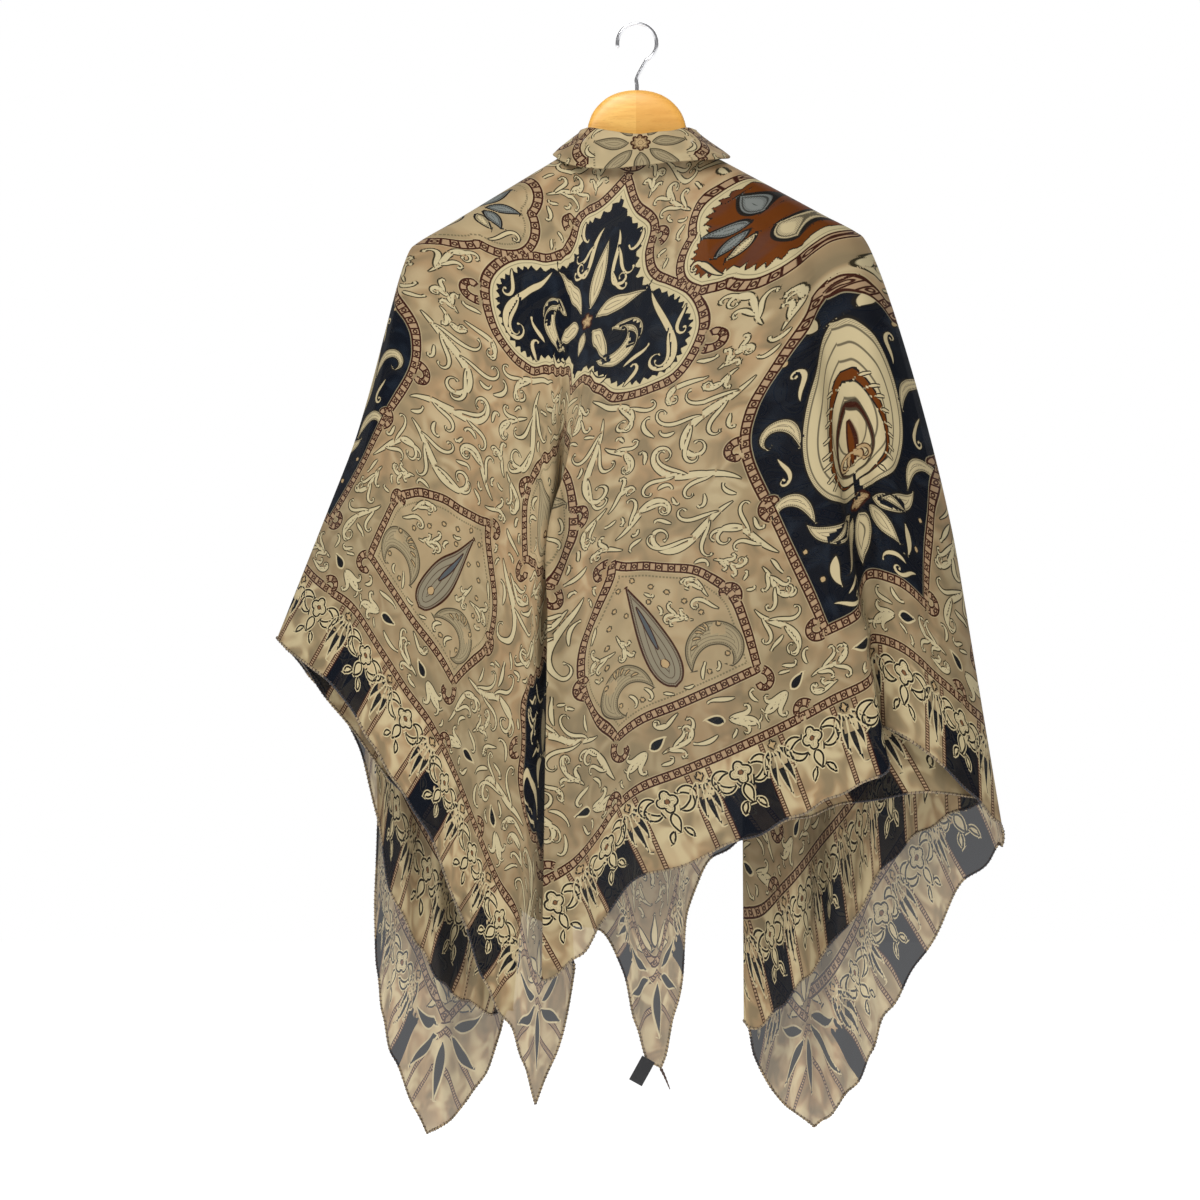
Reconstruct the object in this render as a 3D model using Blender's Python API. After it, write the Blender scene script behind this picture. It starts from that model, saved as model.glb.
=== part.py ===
"""Evening stole on a wooden hanger.

The stole is one square of sheer printed silk, folded corner to corner and hung round the hanger's
shoulders like a shawl. It is built as the stretches that show: the outer and the inner back fall, the
outer and the inner fall of either front, which meet at the fold along the front edge, and the
turned-down collar. Metres, +Z up, the stole's back faces -Y, and the origin is the top of the inside of
the hook, where the rail carries it.
"""

import math
from collections import namedtuple

import bmesh
import bpy
from mathutils import Vector

MM = 0.001

# ---- Driving dimensions, in metres ----
WALL = 1.4 * MM  # thickness of the cloth's wall
SEAM_GAP = 0.35 * MM  # half the gap where two stretches of the cloth meet
SEAM_CLEAR = 1.2 * MM  # the least that the rest of a stretch keeps off its seam
LAYER_DROP = 5.5 * MM  # the inner layer lies this far under the outer one on the shoulders
SHOULDER_ROUND = 17 * MM  # radius in which the cloth turns over the hanger's arms
WAIST_SHARE = 0.55  # where a fall line's middle station lies on its drop

NECK_HALF = 60 * MM  # the arms' crest begins this far from the middle
NECK_Z = -118 * MM  # height of the cloth there
CREST_END = 214 * MM  # and it ends here, at the tip of the shoulder
SLOPE = {-1: 0.60, 1: 0.53}  # fall of the left and of the right shoulder
ARM_FORWARD = 22 * MM  # the arms' ends stand this far forward of the neck
TURN_FROM = 176 * MM  # from here to the tip the fall lines turn from back or front to the side
SIDE_PULL = 0.27  # how far the cloth stands off below the arms' ends, against the shoulders
NECK_PULL = 0.45  # how far the cloth stands off below the neckline, against the shoulders
NECK_LAYER = 7 * MM  # what the inner layer lies further in and down there

HOOK_WIRE = 3.6 * MM
HOOK_INSIDE = 17 * MM  # inner radius of the hook
HOOK_SWEEP = 285  # degrees from the shank round to the hook's end
HOOK_BEND = 28  # degrees at the shank's end of the bow, where the wire runs straight instead
HOOK_IN_WOOD = 18 * MM
HOOK_SIDES, HOOK_STEPS = 10, 20

STEPS_ACROSS = 2  # facets between two fall lines
STEPS_UPPER = 7  # facets along a fall line down to its waist, closer together on the shoulder
STEPS_LOWER = 3  # and from the waist to the hem
UPPER_SPREAD = 1.7

# One row is one fall line, a ridge or a trough of the cloth, from the shoulder to the hem, in
# millimetres. start_x is where it leaves the shoulder, waist and hem are its other two stations.
Fall = namedtuple("Fall", "name start_x waist_x waist_y hem_x hem_y hem_z")

LEFT_FRONT_OUTER = [
    Fall("left_edge", -60, -92, 52, -128, 54, -952),
    Fall("left_front_1", -78, -110, 62, -137, 64, -986),
    Fall("left_front_2", -98, -131, 66, -154, 70, -1022),
    Fall("left_front_3", -120, -153, 58, -176, 60, -1048),
    Fall("left_point", -142, -177, 52, -203, 54, -1070),
    Fall("left_front_5", -163, -198, 60, -222, 64, -1024),
    Fall("left_front_6", -181, -220, 66, -242, 70, -972),
    Fall("left_front_7", -194, -236, 58, -253, 62, -872),
    Fall("left_front_8", -204, -252, 50, -252, 52, -708),
    Fall("left_front_9", -210, -266, 32, -290, 36, -655),
]
LEFT_SIDE_OUTER = [Fall("left_side", -214, -278, 12, -343, 10, -590)]
BACK_OUTER = [
    Fall("back_left_1", -210, -272, -10, -333, -12, -600),
    Fall("back_left_2", -204, -262, -29, -312, -32, -617),
    Fall("back_left_3", -194, -247, -40, -286, -46, -637),
    Fall("back_left_4", -181, -227, -45, -256, -47, -684),
    Fall("back_left_5", -163, -204, -47, -229, -52, -728),
    Fall("back_left_6", -142, -180, -49, -204, -57, -765),
    Fall("back_left_7", -120, -157, -50, -182, -54, -815),
    Fall("back_left_8", -98, -136, -49, -160, -48, -876),
    Fall("back_left_9", -78, -117, -51, -139, -52, -930),
    Fall("back_left_10", -60, -104, -53, -119, -57, -962),
    Fall("back_point", -50, -96, -50, -97, -48, -1030),
    Fall("pleat_under", -42, -88, -45, -70, -40, -980),
    Fall("pleat_turn", -34, -80, -42, -62, -35, -905),
    Fall("pleat_return", -26, -79, -47, -75, -45, -897),
    Fall("pleat_lip", -18, -79, -54, -89, -57, -914),
    Fall("back_mid_1", -8, -62, -56, -61, -62, -896),
    Fall("back_mid_2", 4, -40, -55, -37, -57, -866),
    Fall("back_mid_3", 18, -18, -53, -21, -53, -838),
    Fall("back_mid_4", 32, 6, -53, 2, -53, -818),
    Fall("back_mid_5", 46, 36, -55, 42, -57, -803),
    Fall("back_right_0", 60, 68, -56, 82, -59, -788),
    Fall("back_right_1", 78, 98, -54, 122, -56, -771),
    Fall("back_right_2", 98, 128, -52, 161, -53, -753),
    Fall("back_right_3", 120, 158, -54, 200, -57, -733),
    Fall("tuck_lip", 142, 190, -55, 238, -61, -714),
    Fall("tuck_under", 163, 203, -46, 233, -47, -690),
    Fall("tuck_turn", 181, 218, -39, 229, -36, -672),
    Fall("back_right_7", 194, 241, -42, 258, -45, -683),
    Fall("back_right_8", 204, 266, -36, 298, -42, -716),
    Fall("back_right_9", 210, 291, -16, 336, -20, -754),
]
RIGHT_SIDE_OUTER = [Fall("right_side", 214, 309, 12, 352, 8, -776)]
RIGHT_FRONT_OUTER = [
    Fall("right_front_9", 210, 295, 32, 341, 36, -800),
    Fall("right_front_8", 204, 274, 48, 314, 50, -826),
    Fall("right_front_7", 194, 253, 58, 290, 62, -872),
    Fall("right_front_6", 181, 229, 66, 262, 70, -920),
    Fall("right_front_5", 163, 206, 60, 237, 62, -960),
    Fall("right_front_4", 142, 184, 52, 216, 54, -1012),
    Fall("right_point", 120, 162, 58, 172, 62, -1064),
    Fall("right_front_2", 98, 140, 66, 140, 70, -1034),
    Fall("right_front_1", 78, 122, 62, 118, 64, -1004),
    Fall("right_edge", 60, 108, 52, 109, 54, -968),
]
LEFT_FRONT_INNER = [
    Fall("left_edge_in", -58, -92, 38, -128, 38, -948),
    Fall("left_front_in_1", -78, -110, 26, -142, 24, -948),
    Fall("left_front_in_2", -98, -132, 20, -156, 18, -942),
    Fall("left_front_in_3", -120, -154, 26, -170, 26, -934),
    Fall("left_front_in_4", -142, -176, 34, -184, 34, -925),
    Fall("left_front_in_5", -163, -196, 28, -208, 26, -888),
    Fall("left_front_in_6", -181, -216, 22, -237, 20, -830),
    Fall("left_front_in_7", -194, -234, 28, -250, 28, -760),
    Fall("left_front_in_8", -204, -248, 32, -271, 34, -684),
    Fall("left_front_in_9", -210, -261, 23, -301, 22, -638),
]
LEFT_SIDE_INNER = [Fall("left_side_in", -213, -269, 12, -325, 8, -607)]
BACK_INNER = [
    Fall("back_in_left_1", -210, -263, 0, -314, -3, -622),
    Fall("back_in_left_2", -204, -252, -10, -298, -12, -644),
    Fall("back_in_left_3", -194, -238, -17, -276, -19, -672),
    Fall("back_in_left_4", -181, -218, -20, -250, -22, -706),
    Fall("back_in_left_5", -163, -195, -17, -218, -18, -745),
    Fall("back_in_left_6", -142, -170, -14, -186, -14, -780),
    Fall("back_in_left_7", -120, -143, -18, -150, -19, -815),
    Fall("back_in_left_8", -98, -114, -23, -113, -24, -845),
    Fall("back_in_left_9", -78, -86, -19, -79, -20, -860),
    Fall("back_in_left_10", -60, -62, -15, -52, -15, -866),
    Fall("back_in_mid_1", -48, -43, -19, -31, -21, -872),
    Fall("back_in_mid_2", -36, -28, -24, -15, -28, -900),
    Fall("back_in_mid_3", -24, -15, -22, -4, -25, -946),
    Fall("back_in_mid_4", -12, -4, -16, 9, -18, -988),
    Fall("inner_point", 0, 7, -12, 23, -13, -1003),
    Fall("back_in_mid_6", 12, 18, -17, 33, -20, -960),
    Fall("back_in_mid_7", 24, 30, -23, 43, -27, -912),
    Fall("back_in_mid_8", 36, 42, -24, 48, -25, -850),
    Fall("back_in_mid_9", 48, 57, -20, 65, -20, -808),
    Fall("back_in_right_0", 60, 76, -16, 93, -16, -784),
    Fall("back_in_right_1", 78, 101, -19, 124, -19, -771),
    Fall("back_in_right_2", 98, 127, -24, 153, -24, -761),
    Fall("back_in_right_3", 120, 153, -20, 182, -21, -752),
    Fall("back_in_right_4", 142, 179, -15, 210, -15, -745),
    Fall("back_in_right_5", 163, 204, -18, 238, -18, -740),
    Fall("back_in_right_6", 181, 228, -20, 264, -21, -737),
    Fall("back_in_right_7", 194, 250, -17, 290, -18, -737),
    Fall("back_in_right_8", 204, 268, -10, 311, -12, -738),
    Fall("back_in_right_9", 210, 283, 0, 327, -1, -740),
]
RIGHT_SIDE_INNER = [Fall("right_side_in", 213, 297, 12, 338, 8, -742)]
RIGHT_FRONT_INNER = [
    Fall("right_front_in_9", 210, 284, 23, 316, 22, -752),
    Fall("right_front_in_8", 204, 267, 32, 290, 34, -765),
    Fall("right_front_in_7", 194, 247, 28, 262, 28, -784),
    Fall("right_front_in_6", 181, 227, 22, 236, 20, -812),
    Fall("right_front_in_5", 163, 205, 28, 214, 26, -850),
    Fall("right_front_in_4", 142, 183, 34, 190, 34, -881),
    Fall("right_front_in_3", 120, 161, 26, 162, 26, -916),
    Fall("right_front_in_2", 98, 140, 20, 139, 18, -942),
    Fall("right_front_in_1", 78, 122, 26, 123, 24, -960),
    Fall("right_edge_in", 58, 108, 38, 109, 38, -962),
]
# The fold at each front edge, between the outer and the inner layer.
LEFT_NOSE = [Fall("left_nose", -56, -84, 45, -120, 46, -950)]
RIGHT_NOSE = [Fall("right_nose", 56, 101, 45, 103, 46, -958)]

# The turned-down collar: where it rolls over the neckline, where its lower edge lies and how far the
# cloth runs down inside the neck, in mm.
Collar = namedtuple("Collar", "name roll_x roll_y roll_z edge_x edge_y edge_z leg")
COLLAR = [
    Collar("left_end", -57, 22, -116, -66, 25, -124, 3),
    Collar("left_front", -55, 12, -108, -75, 15, -125, 4),
    Collar("left", -52.5, 0, -102, -80, 1, -123, 6),
    Collar("left_back", -45, -17, -101, -66, -34, -133, 13),
    Collar("left_mid", -24, -30, -105, -33, -50, -138, 15),
    Collar("mid", 3, -35, -108, 5, -55, -135, 15),
    Collar("right_mid", 28, -30, -105, 40, -49, -131, 15),
    Collar("right_back", 48, -17, -101, 73, -32, -128, 13),
    Collar("right", 55.5, 0, -102, 89, 1, -125, 6),
    Collar("right_front", 56, 12, -108, 80, 15, -125, 4),
    Collar("right_end", 57, 22, -116, 66, 25, -124, 3),
]
COLLAR_ROLL = 2.2 * MM  # radius of the roll over the neckline
COLLAR_HEM_GAP = 2.8 * MM  # between the two layers of the turned-down band
COLLAR_UNDER = 0.5  # share of the band that its under layer covers
# Where the outer back layer meets the roll from below, in mm.
Neck = namedtuple("Neck", "x y z")
NECK = [
    Neck(-60, 1.7, -118),
    Neck(-52.5, -11, -112),
    Neck(-40, -25, -108),
    Neck(-20, -33.5, -110),
    Neck(3, -36, -113),
    Neck(24, -33.5, -110),
    Neck(42, -25, -108),
    Neck(54, -11, -112),
    Neck(60, 1.7, -118),
]

# The hanger's arms, for either side of the middle: half the depth in Y, the top and the height of a
# section, in mm. Beyond the neck the top follows the cloth, and top is what it lies lower than that.
Arm = namedtuple("Arm", "reach half_depth top height")
HUMP = [
    Arm(0, 7.5, -62, 60),
    Arm(12, 7.5, -63, 59),
    Arm(24, 7.5, -66.8, 57),
    Arm(34, 7.5, -73.5, 52),
    Arm(42, 7.5, -83, 45),
    Arm(46.5, 7.5, -94, 38),
    Arm(48, 7.5, -104, 30),
    Arm(49.5, 7.6, -115, 24),
    Arm(54, 7.7, -125, 22),
]
ARM = [
    Arm(64, 8.0, 0, 24),
    Arm(100, 9.5, 0, 27),
    Arm(140, 12, 0, 27),
    Arm(175, 14, 0, 24),
    Arm(196, 13, 0.5, 20),
    Arm(204, 8, 3.5, 12),
    Arm(207, 3, 7, 5),
]
ARM_UNDER_CREST = 7.4 * MM  # the top of an arm lies this far under the middle of the outer cloth
ARM_SIDES = 12
ARM_SQUARENESS = 0.8  # under 1 an arm's section is fuller than an oval

LABEL_WIDTH, LABEL_LENGTH, LABEL_THICK = 14 * MM, 26 * MM, 0.9 * MM
LABEL_TILT = math.radians(29)


# ---- Small helpers ----
def smooth(t):
    """0 to 1 with a soft start and end."""
    t = min(1.0, max(0.0, t))
    return t * t * (3 - 2 * t)


def mix(a, b, t):
    return a + (b - a) * t


def hermite(start, start_pull, end, end_pull, t):
    """A cubic from start to end that leaves and arrives along the two pulls."""
    t2, t3 = t * t, t * t * t
    return (
        start * (2 * t3 - 3 * t2 + 1)
        + start_pull * (t3 - 2 * t2 + t)
        + end * (3 * t2 - 2 * t3)
        + end_pull * (t3 - t2)
    )


def through(points, steps, first=None, last=None):
    """Points of a smooth curve through the given ones, steps to each span. first and last are the
    neighbours beyond the two ends, where the curve goes on."""
    ends = [first or points[0] * 2 - points[1]] + points + [last or points[-1] * 2 - points[-2]]
    made = []
    for i in range(1, len(ends) - 2):
        for k in range(steps):
            made.append(
                hermite(
                    ends[i],
                    (ends[i + 1] - ends[i - 1]) / 2,
                    ends[i + 1],
                    (ends[i + 2] - ends[i]) / 2,
                    k / steps,
                )
            )
    return made + [points[-1]]


# ---- The shape of the cloth ----
def arm_y(x):
    """Where the middle of the arm lies in Y at a distance from the middle of the hanger."""
    return ARM_FORWARD * (abs(x) / CREST_END) ** 2


def neck_line(x):
    """A point of the neckline at the back, from the table."""
    for near, far in zip(NECK, NECK[1:]):
        if x <= far.x * MM:
            break
    share = (x / MM - near.x) / (far.x - near.x)
    return mix(near.y, far.y, share) * MM, mix(near.z, far.z, share) * MM


def crest(x, layer):
    """A point of the line along the top of the shoulders, or of the neckline between them."""
    reach = abs(x)
    if reach >= NECK_HALF - 5 * MM:
        y = arm_y(x)
        z = NECK_Z - SLOPE[1 if x > 0 else -1] * (reach - NECK_HALF)
        return Vector((x, y, z - layer * LAYER_DROP))
    y, z = neck_line(x)
    inwards = layer * NECK_LAYER * smooth((NECK_HALF - reach) / (25 * MM))
    return Vector((x, y + inwards, z - layer * LAYER_DROP - inwards))


def pull(x, front, drop):
    """How a fall line leaves the crest: level, backwards or forwards along the arms and to the side
    at their ends, and downwards from the neckline."""
    side = 1 if x > 0 else -1
    turned = max(0.0, (abs(x) - TURN_FROM) / (CREST_END - TURN_FROM)) ** 1.5
    turn = min(1.0, turned) * math.pi / 2
    level = Vector((side * math.sin(turn), math.cos(turn) * (1 if front else -1), 0))
    strength = math.sqrt(6 * SHOULDER_ROUND * drop) * mix(1, SIDE_PULL, turned)
    if front:
        return level * strength
    neck = smooth((NECK_HALF - abs(x)) / (20 * MM))
    return level * strength * mix(1, NECK_PULL, neck) - Vector((0, 0, drop * 0.9 * neck))


def fall_line(row, layer, front):
    """The points of one fall line, from the shoulder over the waist to the hem."""
    start = crest(row.start_x * MM, layer)
    hem = Vector((row.hem_x, row.hem_y, row.hem_z)) * MM
    waist = Vector((row.waist_x * MM, row.waist_y * MM, mix(start.z, hem.z, WAIST_SHARE)))
    arrive = (hem - waist) * (WAIST_SHARE / (1 - WAIST_SHARE))
    go = pull(row.start_x * MM, front, start.z - waist.z)
    points = []
    for k in range(STEPS_UPPER):
        points.append(hermite(start, go, waist, arrive, (k / STEPS_UPPER) ** UPPER_SPREAD))
    for k in range(STEPS_LOWER + 1):
        points.append(mix(waist, hem, k / STEPS_LOWER))
    return points


def cloth_grid(rows, before=None, after=None):
    """Points of a sheet, as columns from side to side, each running from the top down. rows holds
    (fall, layer, front), and before and after are such rows of the sheets that adjoin it."""
    lines = [fall_line(*row) for row in rows]
    ahead = fall_line(*before) if before else None
    behind = fall_line(*after) if after else None
    across = []
    for k in range(STEPS_UPPER + STEPS_LOWER + 1):
        across.append(
            through(
                [line[k] for line in lines],
                STEPS_ACROSS,
                ahead[k] if ahead else None,
                behind[k] if behind else None,
            )
        )
    return [list(column) for column in zip(*across)]


def on_seam(point):
    """Whether a point of a sheet's edge lies where the front and the back meet."""
    return abs(point.x) > NECK_HALF - 6 * MM


def on_side(point):
    """Whether a point of a sheet's edge lies on the seam below the tip of a shoulder."""
    return abs(point.x) > CREST_END - 2 * MM and abs(point.y - ARM_FORWARD / 2) < ARM_FORWARD


def set_back(grid, side):
    """The sheet with its top edge and its two sides moved off the seam between front and back, which
    follows the arms, and the rest kept clear of it beyond them. side is 1 for the front and -1 for the back."""
    for column in (grid[0], grid[-1]):
        column[:] = [p + Vector((0, side * SEAM_GAP, 0)) for p in column]
    for column in grid[1:-1]:
        if on_seam(column[0]):
            column[0].y = arm_y(column[0].x) + side * SEAM_GAP
        for point, edge in zip(column[1:], grid[0][1:]):
            if abs(point.x) > CREST_END - 8 * MM:
                point.y = side * max(side * point.y, side * edge.y + SEAM_CLEAR)
    return grid


def normals_of(grid):
    """The unit normal at each point of a sheet. On the seam between front and back it stays in the
    seam's plane, so that the two walls end side by side."""
    wide, tall = len(grid), len(grid[0])
    made = []
    for i in range(wide):
        made.append([])
        for k in range(tall):
            along = grid[min(i + 1, wide - 1)][k] - grid[max(i - 1, 0)][k]
            down = grid[i][min(k + 1, tall - 1)] - grid[i][max(k - 1, 0)]
            normal = down.cross(along)
            if (i in (0, wide - 1) and on_side(grid[i][k])) or (k == 0 and on_seam(grid[i][k])):
                normal.y = 0
            made[i].append(normal.normalized())
    return made


# ---- Making objects ----
def material(name, colour, roughness, metallic=0.0):
    made = bpy.data.materials.new(name)
    made.use_nodes = True
    shader = made.node_tree.nodes["Principled BSDF"]
    shader.inputs["Base Color"].default_value = (*colour, 1)
    shader.inputs["Roughness"].default_value = roughness
    shader.inputs["Metallic"].default_value = metallic
    return made


def add_object(name, mesh_builder, finish, crease_degrees=50):
    """An object of a closed bmesh, with its faces turned outwards."""
    bmesh.ops.recalc_face_normals(mesh_builder, faces=mesh_builder.faces)
    if mesh_builder.calc_volume(signed=True) < 0:
        bmesh.ops.reverse_faces(mesh_builder, faces=mesh_builder.faces)
    mesh = bpy.data.meshes.new(name)
    mesh_builder.to_mesh(mesh)
    mesh_builder.free()
    mesh.materials.append(finish)
    mesh.shade_smooth()
    mesh.set_sharp_from_angle(angle=math.radians(crease_degrees))
    made = bpy.data.objects.new(name, mesh)
    bpy.context.scene.collection.objects.link(made)
    return made


def wall_object(name, grid, finish, thickness=WALL):
    """A closed wall of even thickness round a sheet of points."""
    build = bmesh.new()
    sides = []
    for away in (thickness / 2, -thickness / 2):
        sides.append(
            [
                [build.verts.new(p + n * away) for p, n in zip(column, normals)]
                for column, normals in zip(grid, normals_of(grid))
            ]
        )
    outside, inside = sides
    wide, tall = len(grid), len(grid[0])
    for i in range(wide - 1):
        for k in range(tall - 1):
            for side in sides:
                build.faces.new(
                    (side[i][k], side[i + 1][k], side[i + 1][k + 1], side[i][k + 1])
                )
    for i in range(wide - 1):
        for k in (0, tall - 1):
            build.faces.new((outside[i][k], outside[i + 1][k], inside[i + 1][k], inside[i][k]))
    for k in range(tall - 1):
        for i in (0, wide - 1):
            build.faces.new((outside[i][k], outside[i][k + 1], inside[i][k + 1], inside[i][k]))
    return add_object(name, build, finish)


def lofted_object(name, rings, finish, crease_degrees=40):
    """A closed solid through rings of as many points each, with its two ends capped."""
    build = bmesh.new()
    loops = [[build.verts.new(p) for p in ring] for ring in rings]
    count = len(rings[0])
    for near, far in zip(loops, loops[1:]):
        for i in range(count):
            j = (i + 1) % count
            build.faces.new((near[i], near[j], far[j], far[i]))
    build.faces.new(loops[0])
    build.faces.new(loops[-1])
    return add_object(name, build, finish, crease_degrees)


# ---- The stretches of the stole ----
def on(layer, front, *tables):
    """The rows of some tables, with the layer and the side that they lie on."""
    return [(row, layer, front) for rows in tables for row in rows]


def build_back_outer(silk):
    rows = on(0, False, LEFT_SIDE_OUTER, BACK_OUTER, RIGHT_SIDE_OUTER)
    grid = cloth_grid(rows, (LEFT_FRONT_OUTER[-1], 0, True), (RIGHT_FRONT_OUTER[0], 0, True))
    wall_object("back_outer", set_back(grid, -1), silk)


def build_back_inner(silk):
    rows = on(1, False, LEFT_SIDE_INNER, BACK_INNER, RIGHT_SIDE_INNER)
    grid = cloth_grid(rows, (LEFT_FRONT_INNER[-1], 1, True), (RIGHT_FRONT_INNER[0], 1, True))
    wall_object("back_inner", set_back(grid, -1), silk)


def build_front(name, silk, outer_rows, nose_rows, inner_rows, beyond_outer, beyond_inner):
    """The outer and the inner fall of one front. The inner one takes the fold at the front edge. All
    rows run from the side seam of the outer fall round to that of the inner one."""
    rows = on(0, True, outer_rows) + on(0.5, True, nose_rows) + on(1, True, inner_rows)
    whole = cloth_grid(rows, (beyond_outer, 0, False), (beyond_inner, 1, False))
    whole = set_back(whole, 1)
    split = STEPS_ACROSS * (len(outer_rows) - 1)
    for part, grid in (("outer", whole[: split + 1]), ("inner", whole[split:])):
        # Each of the two falls is drawn back from the line where they meet.
        end, next_to_it = (-1, -2) if part == "outer" else (0, 1)
        grid[end] = [p + (q - p).normalized() * SEAM_GAP for p, q in zip(grid[end], grid[next_to_it])]
        wall_object(f"{name}_{part}", grid, silk)


def build_fronts(silk):
    build_front(
        "left_front",
        silk,
        LEFT_SIDE_OUTER + LEFT_FRONT_OUTER[::-1],
        LEFT_NOSE,
        LEFT_FRONT_INNER + LEFT_SIDE_INNER,
        BACK_OUTER[0],
        BACK_INNER[0],
    )
    build_front(
        "right_front",
        silk,
        RIGHT_SIDE_OUTER + RIGHT_FRONT_OUTER,
        RIGHT_NOSE,
        RIGHT_FRONT_INNER[::-1] + RIGHT_SIDE_INNER,
        BACK_OUTER[-1],
        BACK_INNER[-1],
    )


def collar_section(row):
    """One section of the collar: up inside the neck, over the roll, down the band, round its lower
    edge and back up under it."""
    roll = Vector((row.roll_x, row.roll_y, row.roll_z)) * MM
    edge = Vector((row.edge_x, row.edge_y, row.edge_z)) * MM
    outward = Vector((edge.x - roll.x, edge.y - roll.y, 0)).normalized()
    up = Vector((0, 0, 1))
    points = [roll - outward * COLLAR_ROLL - up * row.leg * MM * s for s in (1, 0.5, 0)]
    for angle in (45, 90, 135):
        turn = math.radians(angle)
        points.append(roll - outward * COLLAR_ROLL * math.cos(turn) + up * COLLAR_ROLL * math.sin(turn))
    band_top = roll + outward * COLLAR_ROLL
    down = (edge - band_top).normalized()
    inward = (down.cross(outward.cross(up))).normalized()
    if inward.dot(outward) > 0:
        inward = -inward
    points += [mix(band_top, edge, s) for s in (0, 0.35, 0.7, 1)]
    half = COLLAR_HEM_GAP / 2
    for angle in (45, 90, 135):
        turn = math.radians(angle)
        points.append(edge + inward * half * (1 - math.cos(turn)) + down * half * math.sin(turn))
    under = edge + inward * COLLAR_HEM_GAP
    points += [mix(under, band_top + inward * COLLAR_HEM_GAP, COLLAR_UNDER * s) for s in (0, 0.5, 1)]
    return points


def build_collar(silk):
    sections = [collar_section(row) for row in COLLAR]
    across = [through([s[k] for s in sections], 2) for k in range(len(sections[0]))]
    grid = [list(column) for column in zip(*across)]
    return wall_object("collar", grid, silk)


def build_label(black):
    """The plain woven tab that hangs from the inner layer's corner."""
    near_point = next(row for row in BACK_INNER if row.name == "back_in_mid_4")
    top = Vector((near_point.hem_x + 2, near_point.hem_y - 5, near_point.hem_z - 3)) * MM
    along = Vector((-math.sin(LABEL_TILT), 0, -math.cos(LABEL_TILT)))
    beside = Vector((math.cos(LABEL_TILT), 0, -math.sin(LABEL_TILT)))
    middle = top + along * LABEL_LENGTH / 2
    rings = []
    for depth in (-LABEL_THICK / 2, LABEL_THICK / 2):
        rings.append(
            [
                middle
                + along * LABEL_LENGTH / 2 * down
                + beside * LABEL_WIDTH / 2 * across
                + Vector((0, depth, 0))
                for down, across in ((-1, -1), (-1, 1), (1, 1), (1, -1))
            ]
        )
    return lofted_object("label", rings, black)


# ---- The hanger ----
def arm_ring(side, row, top):
    """A rounded section across an arm of the hanger."""
    x = side * row.reach * MM
    y = arm_y(x)
    half = row.height * MM / 2
    ring = []
    for k in range(ARM_SIDES):
        turn = 2 * math.pi * k / ARM_SIDES
        across = math.copysign(abs(math.cos(turn)) ** ARM_SQUARENESS, math.cos(turn))
        up = math.copysign(abs(math.sin(turn)) ** ARM_SQUARENESS, math.sin(turn))
        ring.append(Vector((x, y + row.half_depth * MM * across, top - half + half * up)))
    return ring


def arm_rings(side):
    rings = [arm_ring(side, row, row.top * MM) for row in HUMP]
    for row in ARM:
        cloth = crest(side * row.reach * MM, 0).z
        rings.append(arm_ring(side, row, cloth - ARM_UNDER_CREST - row.top * MM))
    return rings


def build_hanger(wood):
    """The wooden body, with the hole that takes the hook's shank."""
    rings = list(reversed(arm_rings(-1))) + arm_rings(1)[1:]
    made = lofted_object("hanger", rings, wood)
    bore = bmesh.new()
    bmesh.ops.create_cone(
        bore,
        cap_ends=True,
        segments=HOOK_SIDES,
        radius1=HOOK_WIRE / 2 + SEAM_GAP,
        radius2=HOOK_WIRE / 2 + SEAM_GAP,
        depth=2 * HOOK_IN_WOOD,
    )
    bmesh.ops.translate(bore, verts=bore.verts, vec=(0, 0, HUMP[0].top * MM))
    cutter = add_object("hook_bore", bore, wood)
    cutter.hide_render = True
    cutter.display_type = "WIRE"
    cut = made.modifiers.new("Hook bore", "BOOLEAN")
    cut.operation = "DIFFERENCE"
    cut.solver = "EXACT"
    cut.object = cutter
    return made


def build_hook(steel):
    """The wire hook: a straight shank out of the wood, a bend and a bow that opens to the left."""
    radius = HOOK_INSIDE + HOOK_WIRE / 2
    centre = Vector((0, 0, -HOOK_INSIDE))
    shank_end = HUMP[0].top * MM - HOOK_IN_WOOD + 2 * SEAM_GAP
    path = [Vector((0, 0, mix(shank_end, HUMP[0].top * MM + 12 * MM, share))) for share in (0, 0.5, 1)]
    for k in range(HOOK_STEPS + 1):
        turn = math.radians(-90 + HOOK_BEND + (HOOK_SWEEP - HOOK_BEND) * k / HOOK_STEPS)
        path.append(centre + Vector((math.cos(turn), 0, math.sin(turn))) * radius)
    path = through(path[:6], 3)[:-1] + path[5:]
    beside = Vector((0, 1, 0))
    rings = []
    for k, place in enumerate(path):
        along = (path[min(k + 1, len(path) - 1)] - path[max(k - 1, 0)]).normalized()
        up = along.cross(beside)
        rings.append([])
        for side in range(HOOK_SIDES):
            turn = 2 * math.pi * side / HOOK_SIDES
            rings[-1].append(place + (beside * math.cos(turn) + up * math.sin(turn)) * HOOK_WIRE / 2)
    return lofted_object("hook", rings, steel)


def main():
    for old in list(bpy.data.objects):
        bpy.data.objects.remove(old, do_unlink=True)
    silk = material("printed silk", (0.55, 0.46, 0.33), 0.6)
    wood = material("beech", (0.76, 0.52, 0.25), 0.45)
    steel = material("steel wire", (0.75, 0.75, 0.76), 0.25, 1.0)
    black = material("black tab", (0.02, 0.02, 0.02), 0.7)
    build_hanger(wood)
    build_hook(steel)
    build_collar(silk)
    build_back_outer(silk)
    build_back_inner(silk)
    build_fronts(silk)
    build_label(black)


main()
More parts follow.
